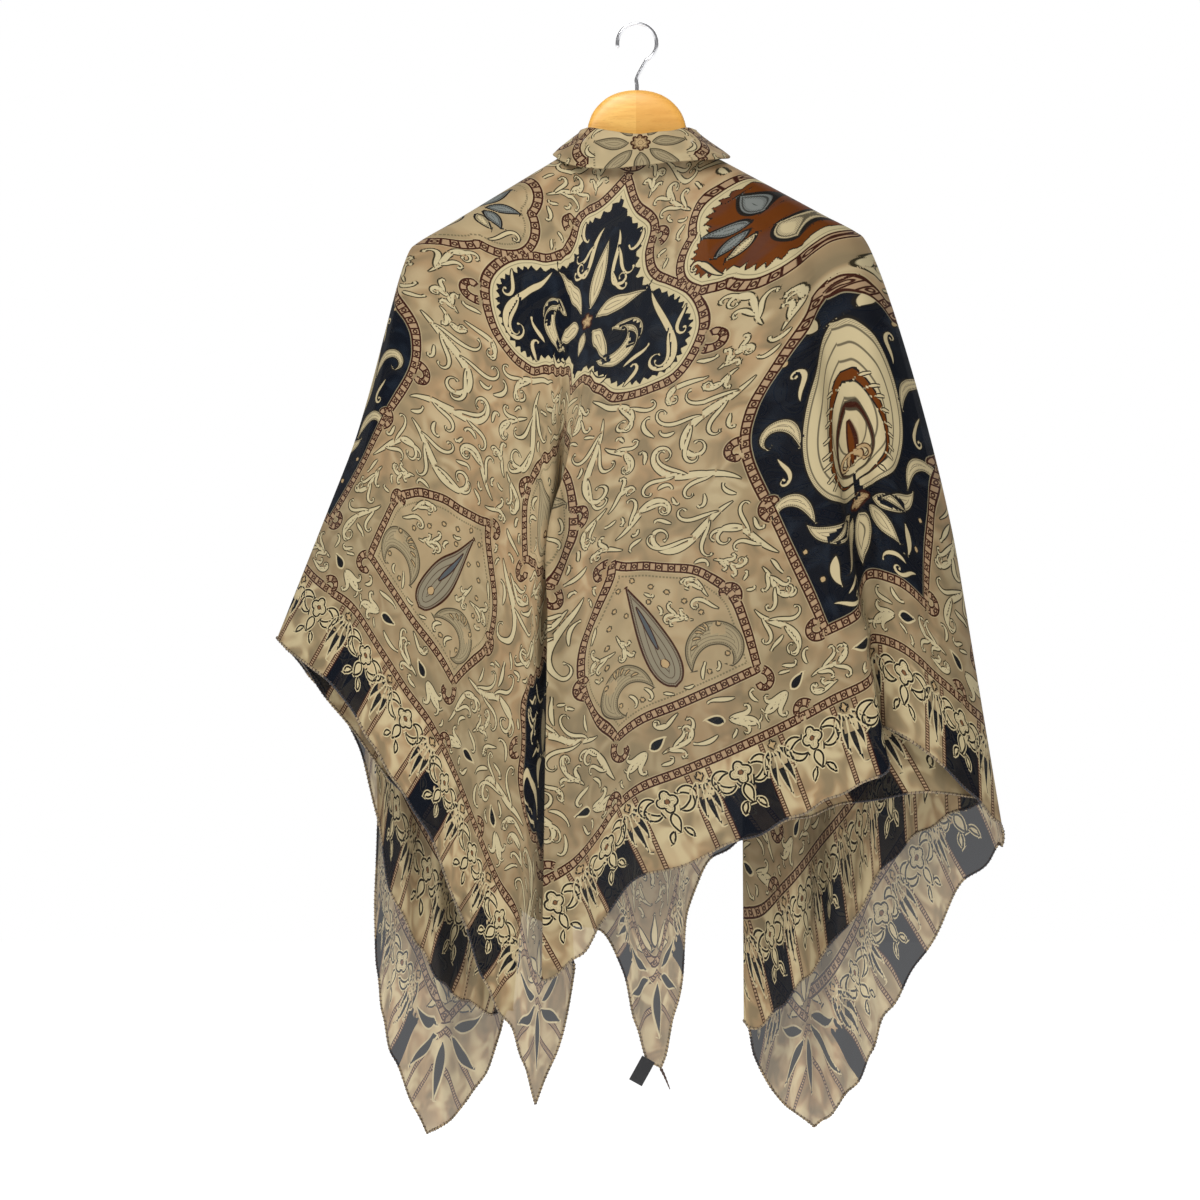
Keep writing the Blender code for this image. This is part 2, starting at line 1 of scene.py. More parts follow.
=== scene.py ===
"""Evening stole on a wooden coat hanger.

Makes the square of sheer printed silk, folded corner to corner and hung round the hanger's shoulders, with
its rolled and whipped hems, its tab and its loose thread, and finishes the hanger. The cloth is one loop of
fall lines, ridges and troughs that run from the shoulder to the hem, and every piece is a stretch of it.
"""

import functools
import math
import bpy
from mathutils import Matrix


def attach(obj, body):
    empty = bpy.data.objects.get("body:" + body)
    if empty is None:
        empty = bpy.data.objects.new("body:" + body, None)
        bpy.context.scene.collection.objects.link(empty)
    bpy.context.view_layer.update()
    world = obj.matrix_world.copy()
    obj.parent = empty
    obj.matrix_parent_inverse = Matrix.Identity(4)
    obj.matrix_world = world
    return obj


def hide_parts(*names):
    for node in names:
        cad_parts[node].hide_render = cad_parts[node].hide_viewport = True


bl_info = {
    "name": "Evening Stole",
    "version": (1, 0, 0),
    "blender": (4, 5, 0),
    "location": "View3D > Sidebar > Stole",
    "description": "Makes a printed silk stole that hangs on a wooden coat hanger",
    "category": "Object",
}

from collections import namedtuple

import bmesh
import bpy
import numpy as np
from mathutils import Vector
from mathutils.kdtree import KDTree

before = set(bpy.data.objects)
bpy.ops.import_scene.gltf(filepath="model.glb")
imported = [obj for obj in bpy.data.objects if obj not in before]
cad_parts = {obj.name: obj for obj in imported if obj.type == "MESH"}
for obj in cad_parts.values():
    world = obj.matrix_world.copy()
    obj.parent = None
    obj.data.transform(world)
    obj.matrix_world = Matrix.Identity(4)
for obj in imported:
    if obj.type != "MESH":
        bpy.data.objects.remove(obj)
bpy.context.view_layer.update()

MM = 0.001

# ---- The cut ----
SIDE = 1.35  # side of the square
HALF = SIDE / 2
COLLAR_DEPTH = 38 * MM  # what the turned-down collar takes at the fold

# ---- The drape, as the frame has it ----
LAYER_DROP = 5.5 * MM  # how much lower the inner layer lies on the arms
SHOULDER_ROUND = 17 * MM  # radius of the cloth's turn over the arms
WAIST_SHARE = 0.55  # how far down a fall line its waist lies
NECK_HALF, NECK_Z = 60 * MM, -118 * MM  # half the width of the neckline, and its ends' height
NECK_LAYER = 7 * MM  # from one layer to the other at the neckline
CREST_END = 214 * MM  # how far out the line along the arms ends
SLOPE = {-1: 0.60, 1: 0.53}  # of the left and the right arm
ARM_FORWARD = 22 * MM  # how far the arms' ends bend to the front
TURN_FROM = 176 * MM  # where the fall lines begin to turn to the side
SIDE_PULL, NECK_PULL = 0.27, 0.45  # how wide the turn over the arm is at the sides and at the neck
SHOULDER_TURN = 51  # of the line along the arms on the flat square, in degrees
ROWS, COLUMN_APART = 248, 3.2 * MM  # points down a fall line, and about how far apart the columns are
SEAM_CLEAR = 1.2 * MM
SEAM_COLUMNS = 45  # either side of a seam between front and back, which they don't cross
FRONT_FOLD = 11.5 * MM  # how far the upright folds of the fronts stand out at the hem
PLEAT_TOP, PLEAT_OPENS = -270 * MM, 210 * MM  # where the back's pleat starts and how soon it is open
HEM_WAVE, TAIL_WAVE = 1.0 * MM, 2.6 * MM  # how far the hem waves, high up and at the tails
TAILS_BELOW = -700 * MM
HEM_CURLS = 70 * MM  # how far the waves reach up from the hem
CORNER_SHARP = 0.16  # share of a corner's fall line along which the cloth comes to a point
GATHER, LEFT_GATHER = 1.03, 1.09  # what small folds take up along the back's hems, and left of the pleat
FOLD_FROM_CORNER = 0.14  # from the left front corner to where the fold of the front edge meets the hem


def table(kind, *rows):
    return [kind(*row) for row in rows]


# One row is one fall line, in millimetres: where it leaves the shoulder, its waist and its hem, and a name
# where another part of the script asks for it or it is one of the pleat's or the tuck's.
Fall = namedtuple("Fall", "start_x waist_x waist_y hem_x hem_y hem_z name", defaults=[""])

LEFT_FRONT_OUTER = table(
    Fall,
    (-60, -92, 52, -128, 54, -952, "left_edge"),
    (-78, -110, 62, -137, 64, -986),
    (-98, -131, 66, -154, 70, -1022),
    (-120, -153, 58, -176, 60, -1048),
    (-142, -177, 52, -203, 54, -1070, "left_point"),
    (-163, -198, 60, -222, 64, -1024),
    (-181, -220, 66, -242, 70, -972),
    (-194, -236, 58, -253, 62, -872),
    (-204, -252, 50, -252, 52, -708),
    (-210, -266, 32, -290, 36, -655),
)
LEFT_SIDE_OUTER = [Fall(-214, -278, 12, -343, 10, -590, "left_side")]
BACK_OUTER = table(
    Fall,
    (-210, -272, -10, -333, -12, -600),
    (-204, -262, -29, -312, -32, -617),
    (-194, -247, -40, -286, -46, -637),
    (-181, -227, -45, -256, -47, -684),
    (-163, -204, -47, -229, -52, -728),
    (-142, -180, -49, -204, -57, -765),
    (-120, -157, -50, -182, -54, -815),
    (-98, -136, -49, -160, -48, -876),
    (-78, -117, -51, -139, -52, -930),
    (-60, -104, -53, -119, -57, -962),
    (-50, -96, -50, -97, -48, -1030, "back_point"),
    (-42, -87, -36, -76, -33, -980, "pleat_under"),
    (-34, -76, -27, -60, -26, -905, "pleat_turn"),
    (-26, -76, -42, -74, -42, -897, "pleat_return"),
    (-18, -85, -60, -91, -62, -914, "pleat_lip"),
    (-8, -62, -56, -61, -62, -896, "past_pleat"),
    (4, -40, -55, -37, -57, -866),
    (18, -18, -53, -21, -53, -838),
    (32, 6, -53, 2, -53, -818),
    (46, 36, -55, 42, -57, -803),
    (60, 68, -56, 82, -59, -788),
    (78, 98, -54, 122, -56, -771),
    (98, 128, -52, 161, -53, -753),
    (120, 158, -54, 200, -57, -733),
    (142, 190, -55, 238, -61, -714, "tuck_lip"),
    (163, 201, -34, 234, -36, -690, "tuck_under"),
    (181, 217, -27, 230, -27, -672, "tuck_turn"),
    (194, 241, -42, 258, -45, -683),
    (204, 266, -36, 298, -42, -716),
    (210, 291, -16, 336, -20, -754),
)
RIGHT_SIDE_OUTER = [Fall(214, 309, 12, 352, 8, -776, "right_side")]
RIGHT_FRONT_OUTER = table(
    Fall,
    (210, 295, 32, 341, 36, -800),
    (204, 274, 48, 314, 50, -826),
    (194, 253, 58, 290, 62, -872),
    (181, 229, 66, 262, 70, -920),
    (163, 206, 60, 237, 62, -960),
    (142, 184, 52, 216, 54, -1012),
    (120, 162, 58, 172, 62, -1064, "right_point"),
    (98, 140, 66, 140, 70, -1034),
    (78, 122, 62, 118, 64, -1004),
    (60, 108, 52, 109, 54, -968, "right_edge"),
)
LEFT_FRONT_INNER = table(
    Fall,
    (-58, -92, 38, -128, 38, -948),
    (-78, -110, 26, -142, 24, -948),
    (-98, -132, 20, -156, 18, -942),
    (-120, -154, 26, -170, 26, -934),
    (-142, -176, 34, -184, 34, -925),
    (-163, -196, 28, -208, 26, -888),
    (-181, -216, 22, -237, 20, -830),
    (-194, -234, 28, -250, 28, -760),
    (-204, -248, 32, -271, 34, -684),
    (-210, -261, 23, -301, 22, -638),
)
LEFT_SIDE_INNER = [Fall(-213, -269, 12, -325, 8, -607, "left_side_in")]
BACK_INNER = table(
    Fall,
    (-210, -263, 0, -314, -3, -622),
    (-204, -252, -10, -298, -12, -644),
    (-194, -238, -17, -276, -19, -672),
    (-181, -218, -20, -250, -22, -706),
    (-163, -195, -17, -218, -18, -745),
    (-142, -170, -14, -186, -14, -780),
    (-120, -143, -18, -150, -19, -815),
    (-98, -114, -23, -113, -24, -845),
    (-78, -86, -19, -79, -20, -860),
    (-60, -62, -15, -52, -15, -866),
    (-48, -43, -19, -31, -21, -872),
    (-36, -28, -24, -15, -28, -900),
    (-24, -15, -22, -4, -25, -946),
    (-12, -4, -16, 9, -18, -988),
    (0, 7, -12, 23, -13, -1003, "inner_point"),
    (12, 18, -17, 33, -20, -960),
    (24, 30, -23, 43, -27, -912),
    (36, 42, -24, 48, -25, -850),
    (48, 57, -20, 65, -20, -808),
    (60, 76, -16, 93, -16, -784),
    (78, 101, -19, 124, -19, -771),
    (98, 127, -24, 153, -24, -761),
    (120, 153, -20, 182, -21, -752),
    (142, 179, -15, 210, -15, -745),
    (163, 204, -18, 238, -18, -740),
    (181, 228, -20, 264, -21, -737),
    (194, 250, -17, 290, -18, -737),
    (204, 268, -10, 311, -12, -738),
    (210, 283, 0, 327, -1, -740),
)
RIGHT_SIDE_INNER = [Fall(213, 297, 12, 338, 8, -742, "right_side_in")]
RIGHT_FRONT_INNER = table(
    Fall,
    (210, 284, 23, 316, 22, -752),
    (204, 267, 32, 290, 34, -765),
    (194, 247, 28, 262, 28, -784),
    (181, 227, 22, 236, 20, -812),
    (163, 205, 28, 214, 26, -850),
    (142, 183, 34, 190, 34, -881),
    (120, 161, 26, 162, 26, -916),
    (98, 140, 20, 139, 18, -942),
    (78, 122, 26, 123, 24, -960),
    (58, 108, 38, 109, 38, -962),
)
LEFT_NOSE = [Fall(-56, -84, 45, -120, 46, -950)]
RIGHT_NOSE = [Fall(56, 101, 45, 103, 46, -958)]

# Where the outer back layer meets the collar's roll from below, in mm.
Neck = namedtuple("Neck", "x y z")
NECK = table(
    Neck,
    (-60, 1.7, -118),
    (-52.5, -11, -112),
    (-40, -25, -108),
    (-20, -33.5, -110),
    (3, -36, -113),
    (24, -33.5, -110),
    (42, -25, -108),
    (54, -11, -112),
    (60, 1.7, -118),
)

# The turned-down collar: its roll, its lower edge and how far it runs down inside the neck, in mm.
Collar = namedtuple("Collar", "roll_x roll_y roll_z edge_x edge_y edge_z leg")
COLLAR = table(
    Collar,
    (-57, 22, -116, -66, 25, -124, 3),
    (-55, 12, -108, -75, 15, -125, 4),
    (-52.5, 0, -102, -80, 1, -123, 6),
    (-45, -17, -101, -66, -34, -133, 13),
    (-24, -30, -105, -33, -50, -138, 15),
    (3, -35, -108, 5, -55, -135, 15),
    (28, -30, -105, 40, -49, -131, 15),
    (48, -17, -101, 73, -32, -128, 13),
    (55.5, 0, -102, 89, 1, -125, 6),
    (56, 12, -108, 80, 15, -125, 4),
    (57, 22, -116, 66, 25, -124, 3),
)
COLLAR_ROLL = 2.2 * MM  # radius of the roll
COLLAR_HEM_GAP = 2.8 * MM  # from the band to the layer under it
COLLAR_UNDER = 0.5  # how far up the band the layer under it reaches


# ---- Small helpers ----
def smooth(t):
    """0 to 1 with a soft start and end."""
    t = np.clip(t, 0, 1)
    return t * t * (3 - 2 * t)


def mix(a, b, t):
    return a + (b - a) * t


def unit(vectors):
    """Vectors at length one."""
    return vectors / np.maximum(np.linalg.norm(vectors, axis=-1, keepdims=True), 1e-12)


def hermite(start, start_pull, end, end_pull, t):
    """A cubic from start to end that leaves and arrives along the two pulls."""
    t2, t3 = t * t, t * t * t
    return (
        start * (2 * t3 - 3 * t2 + 1)
        + start_pull * (t3 - 2 * t2 + t)
        + end * (3 * t2 - 2 * t3)
        + end_pull * (t3 - t2)
    )


def lengths(path):
    """Distance along a path to each of its points."""
    return np.concatenate([[0], np.cumsum(np.linalg.norm(np.diff(path, axis=0), axis=1))])


def evenly(path, count):
    """A path again, as count points at even distances."""
    along = lengths(path)
    at = np.linspace(0, along[-1], count)
    return np.stack([np.interp(at, along, path[:, k]) for k in range(path.shape[1])], axis=1)


# ---- The drape ----
def arm_y(x):
    """Where the middle of the hanger's arm lies in Y."""
    return ARM_FORWARD * (np.abs(x) / CREST_END) ** 2


def crest(x, layer):
    """A point of the line along the top of the shoulders, or of the neckline between them."""
    reach = abs(x)
    if reach >= NECK_HALF - 5 * MM:
        z = NECK_Z - SLOPE[1 if x > 0 else -1] * (reach - NECK_HALF)
        return np.array((x, arm_y(x), z - layer * LAYER_DROP))
    neck_x, neck_y, neck_z = ([value * MM for value in column] for column in zip(*NECK))
    y, z = np.interp(x, neck_x, neck_y), np.interp(x, neck_x, neck_z)
    inwards = layer * NECK_LAYER * smooth((NECK_HALF - reach) / (25 * MM))
    return np.array((x, y + inwards, z - layer * LAYER_DROP - inwards))


def pull(x, front, drop):
    """How a fall line leaves the crest: level across the arms, to the side at their ends, and downwards
    from the neckline."""
    side = 1 if x > 0 else -1
    turned = max(0.0, (abs(x) - TURN_FROM) / (CREST_END - TURN_FROM)) ** 1.5
    turn = min(1.0, turned) * math.pi / 2
    level = np.array((side * math.sin(turn), math.cos(turn) * (1 if front else -1), 0))
    strength = math.sqrt(6 * SHOULDER_ROUND * drop) * mix(1, SIDE_PULL, turned)
    if front:
        return level * strength
    neck = smooth((NECK_HALF - abs(x)) / (20 * MM))
    return level * strength * mix(1, NECK_PULL, neck) - np.array((0, 0, drop * 0.9 * neck))


def fall_line(row, layer, front, count):
    """count even points of one fall line, from the shoulder over the waist to the hem."""
    start = crest(row.start_x * MM, layer)
    hem = np.array((row.hem_x, row.hem_y, row.hem_z)) * MM
    waist = np.array((row.waist_x * MM, row.waist_y * MM, mix(start[2], hem[2], WAIST_SHARE)))
    arrive = (hem - waist) * (WAIST_SHARE / (1 - WAIST_SHARE))
    go = pull(row.start_x * MM, front, start[2] - waist[2])
    t = np.linspace(0, 1, 80)[:, None]
    upper = hermite(start, go, waist, arrive, t)
    return evenly(np.vstack([upper, mix(waist, hem, t[1:])]), count)


def loop_rows():
    """Every fall line as (row, layer, front), once round the cloth: the outer layer from the left front
    edge round the back to the right one, and back along the inner layer."""

    def on(layer, front, rows):
        return [(row, layer, front) for row in rows]

    return (
        on(0, True, LEFT_FRONT_OUTER)
        + on(0, False, LEFT_SIDE_OUTER + BACK_OUTER + RIGHT_SIDE_OUTER)
        + on(0, True, RIGHT_FRONT_OUTER)
        + on(0.5, True, RIGHT_NOSE)
        + on(1, True, RIGHT_FRONT_INNER[::-1])
        + on(1, False, RIGHT_SIDE_INNER + BACK_INNER[::-1] + LEFT_SIDE_INNER)
        + on(1, True, LEFT_FRONT_INNER[::-1])
        + on(0.5, True, LEFT_NOSE)
    )


# Soft creases of the hanging cloth, as lines on the back or the front view, in mm: depth above nought
# is a ridge, width is that of its slope.
Crease = namedtuple("Crease", "x1 z1 x2 z2 depth width")
BACK_CREASES = table(
    Crease,
    (-196, -300, -150, -700, 5, 16),
    (-160, -260, -232, -560, -4, 15),
    (-100, -330, -84, -560, 5, 12),
    (-72, -400, -76, -700, -5, 10),
    (-30, -150, 40, -190, -2.5, 9),
    (60, -160, 170, -250, 2.5, 12),
    (-70, -160, -180, -250, 2.5, 12),
    (20, -260, 150, -300, -2.5, 14),
    (-10, -480, 10, -760, 3.5, 15),
    (70, -420, 92, -740, -3.5, 16),
    (140, -330, 175, -690, 4, 16),
    (196, -280, 246, -600, 4.5, 14),
    (226, -330, 290, -690, -4, 13),
    (150, -560, 236, -590, 3, 10),
    (-230, -520, -160, -640, 3, 12),
    (30, -640, 110, -650, 2.5, 12),
)
FRONT_CREASES = table(
    Crease,
    (-190, -300, -210, -760, 6, 15),
    (-150, -260, -140, -700, -5, 14),
    (-110, -300, -120, -880, 5, 13),
    (-230, -330, -236, -620, 4, 12),
    (-90, -180, -190, -250, -2.5, 10),
    (190, -300, 250, -700, 6, 15),
    (150, -250, 190, -820, -5, 14),
    (112, -300, 128, -900, 5, 13),
    (240, -340, 300, -640, 4, 13),
    (90, -180, 190, -240, -2.5, 10),
)


def crease_height(x, z, creases):
    """How far the creases move each point of a view out of the cloth."""
    height = np.zeros_like(x)
    for crease in creases:
        start = np.array((crease.x1, crease.z1)) * MM
        run = np.array((crease.x2, crease.z2)) * MM - start
        size = np.linalg.norm(run)
        along = ((x - start[0]) * run[0] + (z - start[1]) * run[1]) / size**2
        bow = 0.04 * size * np.sin(np.pi * np.clip(along, 0, 1))
        across = ((x - start[0]) * run[1] - (z - start[1]) * run[0]) / size + bow
        taper = smooth(np.minimum(along, 1 - along) * 3.2 + 0.15)
        height += crease.depth * MM * taper * np.exp(-((across / (crease.width * MM)) ** 2))
    return height


def square_edge(distance):
    """The point of the square's edge at a distance from the left front corner, by way of the outer back
    corner, the right front corner and the inner back corner."""
    corners = np.array(((-1, 1), (1, 1), (1, -1), (-1, -1), (-1, 1))) * HALF
    at = np.arange(5) * SIDE
    return np.stack([np.interp(distance, at, corners[:, k]) for k in range(2)], axis=-1)


def shoulder_on_square(x, layer):
    """Where on the flat square the crest lies that the cloth hangs from."""
    reach = np.abs(x)
    beyond = np.maximum(reach - NECK_HALF, 0) * math.hypot(1, SLOPE[1])
    turn = math.radians(SHOULDER_TURN)
    across = np.sign(x) * (np.minimum(reach, NECK_HALF) + beyond * math.cos(turn))
    down = (COLLAR_DEPTH + beyond * math.sin(turn)) * (1 - 2 * layer)
    return np.stack([(across + down), (down - across)], axis=-1) / math.sqrt(2)


def open_pleat(lines, names):
    """Lays the pleat's fall lines flat between their neighbours near the top, where the pleat is closed."""
    first, last = names.index("back_point"), names.index("past_pleat")
    for i in range(first + 1, last):
        opened = smooth((PLEAT_TOP - lines[i, :, 2:]) / PLEAT_OPENS)
        closed = mix(lines[first], lines[last], (i - first) / (last - first))
        lines[i] = mix(closed, lines[i], opened)


def wave_hem(points):
    """Lets the hem curl a little, more at the tails than higher up, and fades the waves out above it."""
    hem = points[:, -1]
    along = lengths(hem)
    size = mix(HEM_WAVE, TAIL_WAVE, smooth((TAILS_BELOW - hem[:, 2]) / (120 * MM)))
    down = unit(points[:, -1] - points[:, -6])
    sway = np.sin(along / (9.5 * MM) + 2.2 * np.sin(along / (47 * MM)))
    lift = np.sin(along / (12 * MM) + 1.7 * np.sin(along / (61 * MM)) + 1)
    rows = np.linspace(1, 0, points.shape[1]) * lengths(points[len(points) // 3])[-1]
    fade = smooth(1 - rows / HEM_CURLS)[None, :, None]
    shift = down * (size * sway)[:, None] + np.array((0, 1, 0)) * (size * lift)[:, None]
    return points + shift[:, None] * fade


Drape = namedtuple("Drape", "points normals flat columns")


@functools.lru_cache(maxsize=1)
def drape():
    """The whole cloth: points and normals by column and row, where each point lies on the flat square,
    and the column of each named fall line."""
    coarse = 1
    count = ROWS // coarse
    rows = loop_rows()
    lines = np.array([fall_line(*row, count) for row in rows])
    names = [row.name for row, _, _ in rows]
    open_pleat(lines, names)
    pointed = smooth((np.linspace(0, 1, count)[:, None] - 1) / CORNER_SHARP + 1)
    columns, points, layers, fronts = {}, [], [], []
    for i, name in enumerate(names):
        before, here, after, beyond = (lines[(i + k) % len(lines)] for k in (-1, 0, 1, 2))
        apart = max(np.linalg.norm(after[-1] - here[-1]), np.linalg.norm(after[0] - here[0]))
        steps = int(np.clip(round(apart / (COLUMN_APART * coarse)), 3 if coarse == 1 else 2, 16))
        if name:
            columns[name] = len(points)
        leave, arrive = (after - before) / 2, (beyond - here) / 2
        if name.endswith("point"):
            leave = mix(leave, after - here, pointed)
        if names[(i + 1) % len(names)].endswith("point"):
            arrive = mix(arrive, after - here, pointed)
        for k in range(steps):
            t = k / steps
            points.append(hermite(here, leave, after, arrive, t))
            layers.append(mix(rows[i][1], rows[(i + 1) % len(rows)][1], t))
            fronts.append(rows[i][2] if t < 0.5 else rows[(i + 1) % len(rows)][2])
    points, layers, fronts = np.array(points), np.array(layers), np.array(fronts)

    # The seam between front and back, along the arms and down from their ends, stays in one line.
    top = points[:, 0]
    on_arm = np.abs(top[:, 0]) > NECK_HALF - 6 * MM
    top[on_arm, 1] = arm_y(top[on_arm, 0])
    for side_name in ("left_side", "right_side", "left_side_in", "right_side_in"):
        at = columns[side_name]
        near = np.arange(at - SEAM_COLUMNS // coarse, at + SEAM_COLUMNS // coarse + 1)
        near = near[near != at]
        facing = np.where(fronts[near], 1, -1)[:, None]
        kept = np.maximum(facing * points[near, :, 1], facing * points[at, :, 1] + SEAM_CLEAR)
        beyond = np.abs(points[near, :, 0]) > CREST_END - 8 * MM
        beyond[:, 0] = False
        points[near, :, 1] = np.where(beyond, facing * kept, points[near, :, 1])

    # The fronts hang in upright folds, the same in both layers, that end where the sides turn to the back.
    to_hem = smooth((NECK_Z - 40 * MM - points[..., 2]) / (330 * MM))
    from_side = smooth((CREST_END + 30 * MM - np.abs(points[..., 0])) / (60 * MM))
    uneven = points[..., 0] / (7.6 * MM) + 1.4 * np.sin(points[..., 0] / (31 * MM))
    wave = np.sin(uneven + 2.0 * points[..., 2])
    points[..., 1] += np.where(fronts[:, None], FRONT_FOLD * to_hem * from_side * wave, 0)

    normals = grid_normals(points, top, on_arm, layers)
    facing = np.where(layers < 0.5, 1, -1)[:, None]
    hung = smooth((NECK_Z - 25 * MM - points[..., 2]) / (60 * MM))
    side_fade = smooth(np.abs(points[..., 1] - ARM_FORWARD) / (35 * MM))
    x, z = points[..., 0], points[..., 2]
    depth = np.where(fronts[:, None], crease_height(x, z, FRONT_CREASES), crease_height(x, z, BACK_CREASES))
    points = wave_hem(points + normals * (facing * depth * hung * side_fade)[..., None])
    normals = grid_normals(points, top, on_arm, layers)

    hem = points[:, -1]
    along = lengths(np.vstack([hem, hem[:1]]))
    around, cut = hem_stations(along, columns)
    edge = square_edge(np.interp(along[:-1], around, cut) % (4 * SIDE))
    start = shoulder_on_square(top[:, 0], layers)
    share = np.linspace(0, 1, count)[None, :, None]
    flat = mix(start[:, None], edge[:, None], share)
    return Drape(points, normals, flat, columns)


def grid_normals(points, top, on_arm, layers):
    """Normals of the closed loop of columns. Along the arms they are square to the crest."""
    along = np.roll(points, -1, axis=0) - np.roll(points, 1, axis=0)
    down = np.empty_like(points)
    down[:, 1:-1] = points[:, 2:] - points[:, :-2]
    down[:, 0] = points[:, 1] - points[:, 0]
    down[:, -1] = points[:, -1] - points[:, -2]
    normals = unit(np.cross(down, along))
    slope = np.where(top[:, 0] > 0, SLOPE[1], SLOPE[-1]) * np.sign(top[:, 0])
    up = unit(np.stack([slope, np.zeros_like(slope), np.ones_like(slope)], axis=1))
    face = np.where(layers < 0.5, 1, -1)[:, None]
    normals[on_arm, 0] = (up * face)[on_arm]
    return normals


def hem_stations(along, columns):
    """Stations round the hem, as distances on the draped cloth and on the flat square's edge."""

    def at(name):
        return along[columns[name]]

    left = (at("back_point") - at("left_side")) * LEFT_GATHER
    right = (at("right_side") - at("back_point")) * GATHER
    left_in = (at("left_side_in") - at("inner_point")) * GATHER
    right_in = (at("inner_point") - at("right_side_in")) * GATHER
    total = along[-1]
    stations = [
        (at("left_point"), 0),
        (at("left_side"), SIDE - left),
        (at("back_point"), SIDE),
        (at("right_side"), SIDE + right),
        (at("right_point"), 2 * SIDE),
        (at("right_side_in"), 3 * SIDE - right_in),
        (at("inner_point"), 3 * SIDE),
        (at("left_side_in"), 3 * SIDE + left_in),
        (at("left_edge") + total, 4 * SIDE - FOLD_FROM_CORNER),
        (at("left_point") + total, 4 * SIDE),
    ]
    distance, cut = stations[-2]
    stations.insert(0, (distance - total, cut - 4 * SIDE))
    return zip(*stations)


# ---- The print: outlines on the flat square, in millimetres ----
def curl(length, turn, tighten=2.0, steps=36):
    """A line that starts at the origin towards +Y and turns by so many degrees, more and more
    quickly where tighten is above one."""
    share = (np.arange(steps) + 0.5) / steps
    heading = math.radians(turn) * share**tighten
    moves = np.stack([np.sin(heading), np.cos(heading)], axis=1) * length / steps
    return np.vstack([[0, 0], np.cumsum(moves, axis=0)])


def scroll(length, sway, turn, steps=44):
    """A line that starts at the origin towards +Y, sways one way and winds up the other way, its steps
    shorter towards the curled end."""
    share = (np.arange(steps) + 0.5) / steps
    heading = np.radians(turn * share**2.6 - sway * np.sin(math.pi * share))
    step = length / steps * (1.3 - 0.6 * share)[:, None]
    moves = np.stack([np.sin(heading), np.cos(heading)], axis=1) * step
    return np.vstack([[0, 0], np.cumsum(moves, axis=0)])


def leaf(length, width, turn=0, tighten=2.0, belly=0.4):
    """A pointed outline round a curled line, widest at belly of its length."""
    middle = curl(length, turn, tighten)
    share = np.linspace(0, 1, len(middle))
    half = width / 2 * np.sin(math.pi * share ** (math.log(0.5) / math.log(belly)))
    along = unit(np.gradient(middle, axis=0))
    beside = np.stack([along[:, 1], -along[:, 0]], axis=1)
    right = middle + beside * half[:, None]
    left = middle - beside * half[:, None]
    return np.vstack([right, left[::-1][1:-1]])


def ring(radius, lobes=0, depth=0.0, squash=1.0):
    """A round outline, lobed where lobes is given."""
    turn = np.linspace(0, 2 * math.pi, 96, endpoint=False)
    reach = radius * (1 - depth + depth * np.abs(np.cos(lobes * turn / 2)) * 2)
    return np.stack([np.cos(turn) * reach, np.sin(turn) * reach * squash], axis=1)


def arch(width, height, shoulder=0.5):
    """A pointed arch on a straight base whose middle is the origin."""
    half, up = width / 2, height * shoulder
    bulge, rise = half * 1.07, height - up
    side = [(half, 0), (bulge, up * 0.55), (bulge, up)]
    side += [(half * x, up + rise * y) for x, y in ((0.82, 0.42), (0.40, 0.68), (0.12, 0.86))]
    return half_outline([*side, (0, height)], based=True)


def ogee(width, height):
    """A tall panel with a point at either end and a soft waist at its shoulders."""
    low = [(0, 0), (0.22, 0.06), (0.78, 0.15), (1, 0.30)]
    high = [(0.96, 0.50), (1, 0.70), (0.70, 0.85), (0.20, 0.93), (0, 1)]
    return half_outline([(width / 2 * x, height * y) for x, y in low + high])


def rounded(points, steps=8):
    """A smooth line through some points."""
    ends = np.vstack([points[0] * 2 - points[1], points, points[-1] * 2 - points[-2]])
    made = []
    for i in range(1, len(ends) - 2):
        for k in range(steps):
            pulls = (ends[i + 1] - ends[i - 1]) / 2, (ends[i + 2] - ends[i]) / 2
            made.append(hermite(ends[i], pulls[0], ends[i + 1], pulls[1], k / steps))
    return np.array(made + [points[-1]])


def mirrored(points):
    return points * (-1, 1)


def half_outline(points, based=False):
    """A closed outline from the points of its right half, which ends on the middle line. It starts there
    too, or at the right end of a base."""
    right = rounded(np.array(points, float))
    left = mirrored(right)[::-1]
    return np.vstack([right, left[1:] if based else left[1:-1]])


def placed(points, at=(0, 0), turn=0.0):
    """An outline turned clockwise by so many degrees and moved."""
    angle = math.radians(turn)
    rows = np.array(((math.cos(angle), -math.sin(angle)), (math.sin(angle), math.cos(angle))))
    return points @ rows + np.array(at)


def from_side(points):
    """From a side's own frame, X along the hem from its middle and Y in from the hem, to the square."""
    return np.stack([HALF / MM - points[:, 1], points[:, 0]], axis=1)


def from_corner(points):
    """From a corner's own frame, X across its diagonal and Y in from the corner, to the square."""
    root = math.sqrt(2)
    x, y = points[:, 0] / root, points[:, 1] / root
    return np.stack([HALF / MM - x - y, HALF / MM + x - y], axis=1)


def quarter_turns(points, turns=(0, 1, 2, 3)):
    """A figure of the square on several of its four sides."""
    made = []
    for k in turns:
        c, s = ((1, 0), (0, 1), (-1, 0), (0, -1))[k]
        made.append(points @ np.array(((c, s), (-s, c))))
    return made


# What is printed. fill and line are names of inks; echo is the distance between a motif's inner lines, half
# and knob are a stroke's greatest half width and the radius of its round end, in mm. A panel's style is
# "plain", "dark" or "flamed".
Band = namedtuple("Band", "points fill style")
Motif = namedtuple("Motif", "points fill line echo")
Stroke = namedtuple("Stroke", "points half fill line knob")

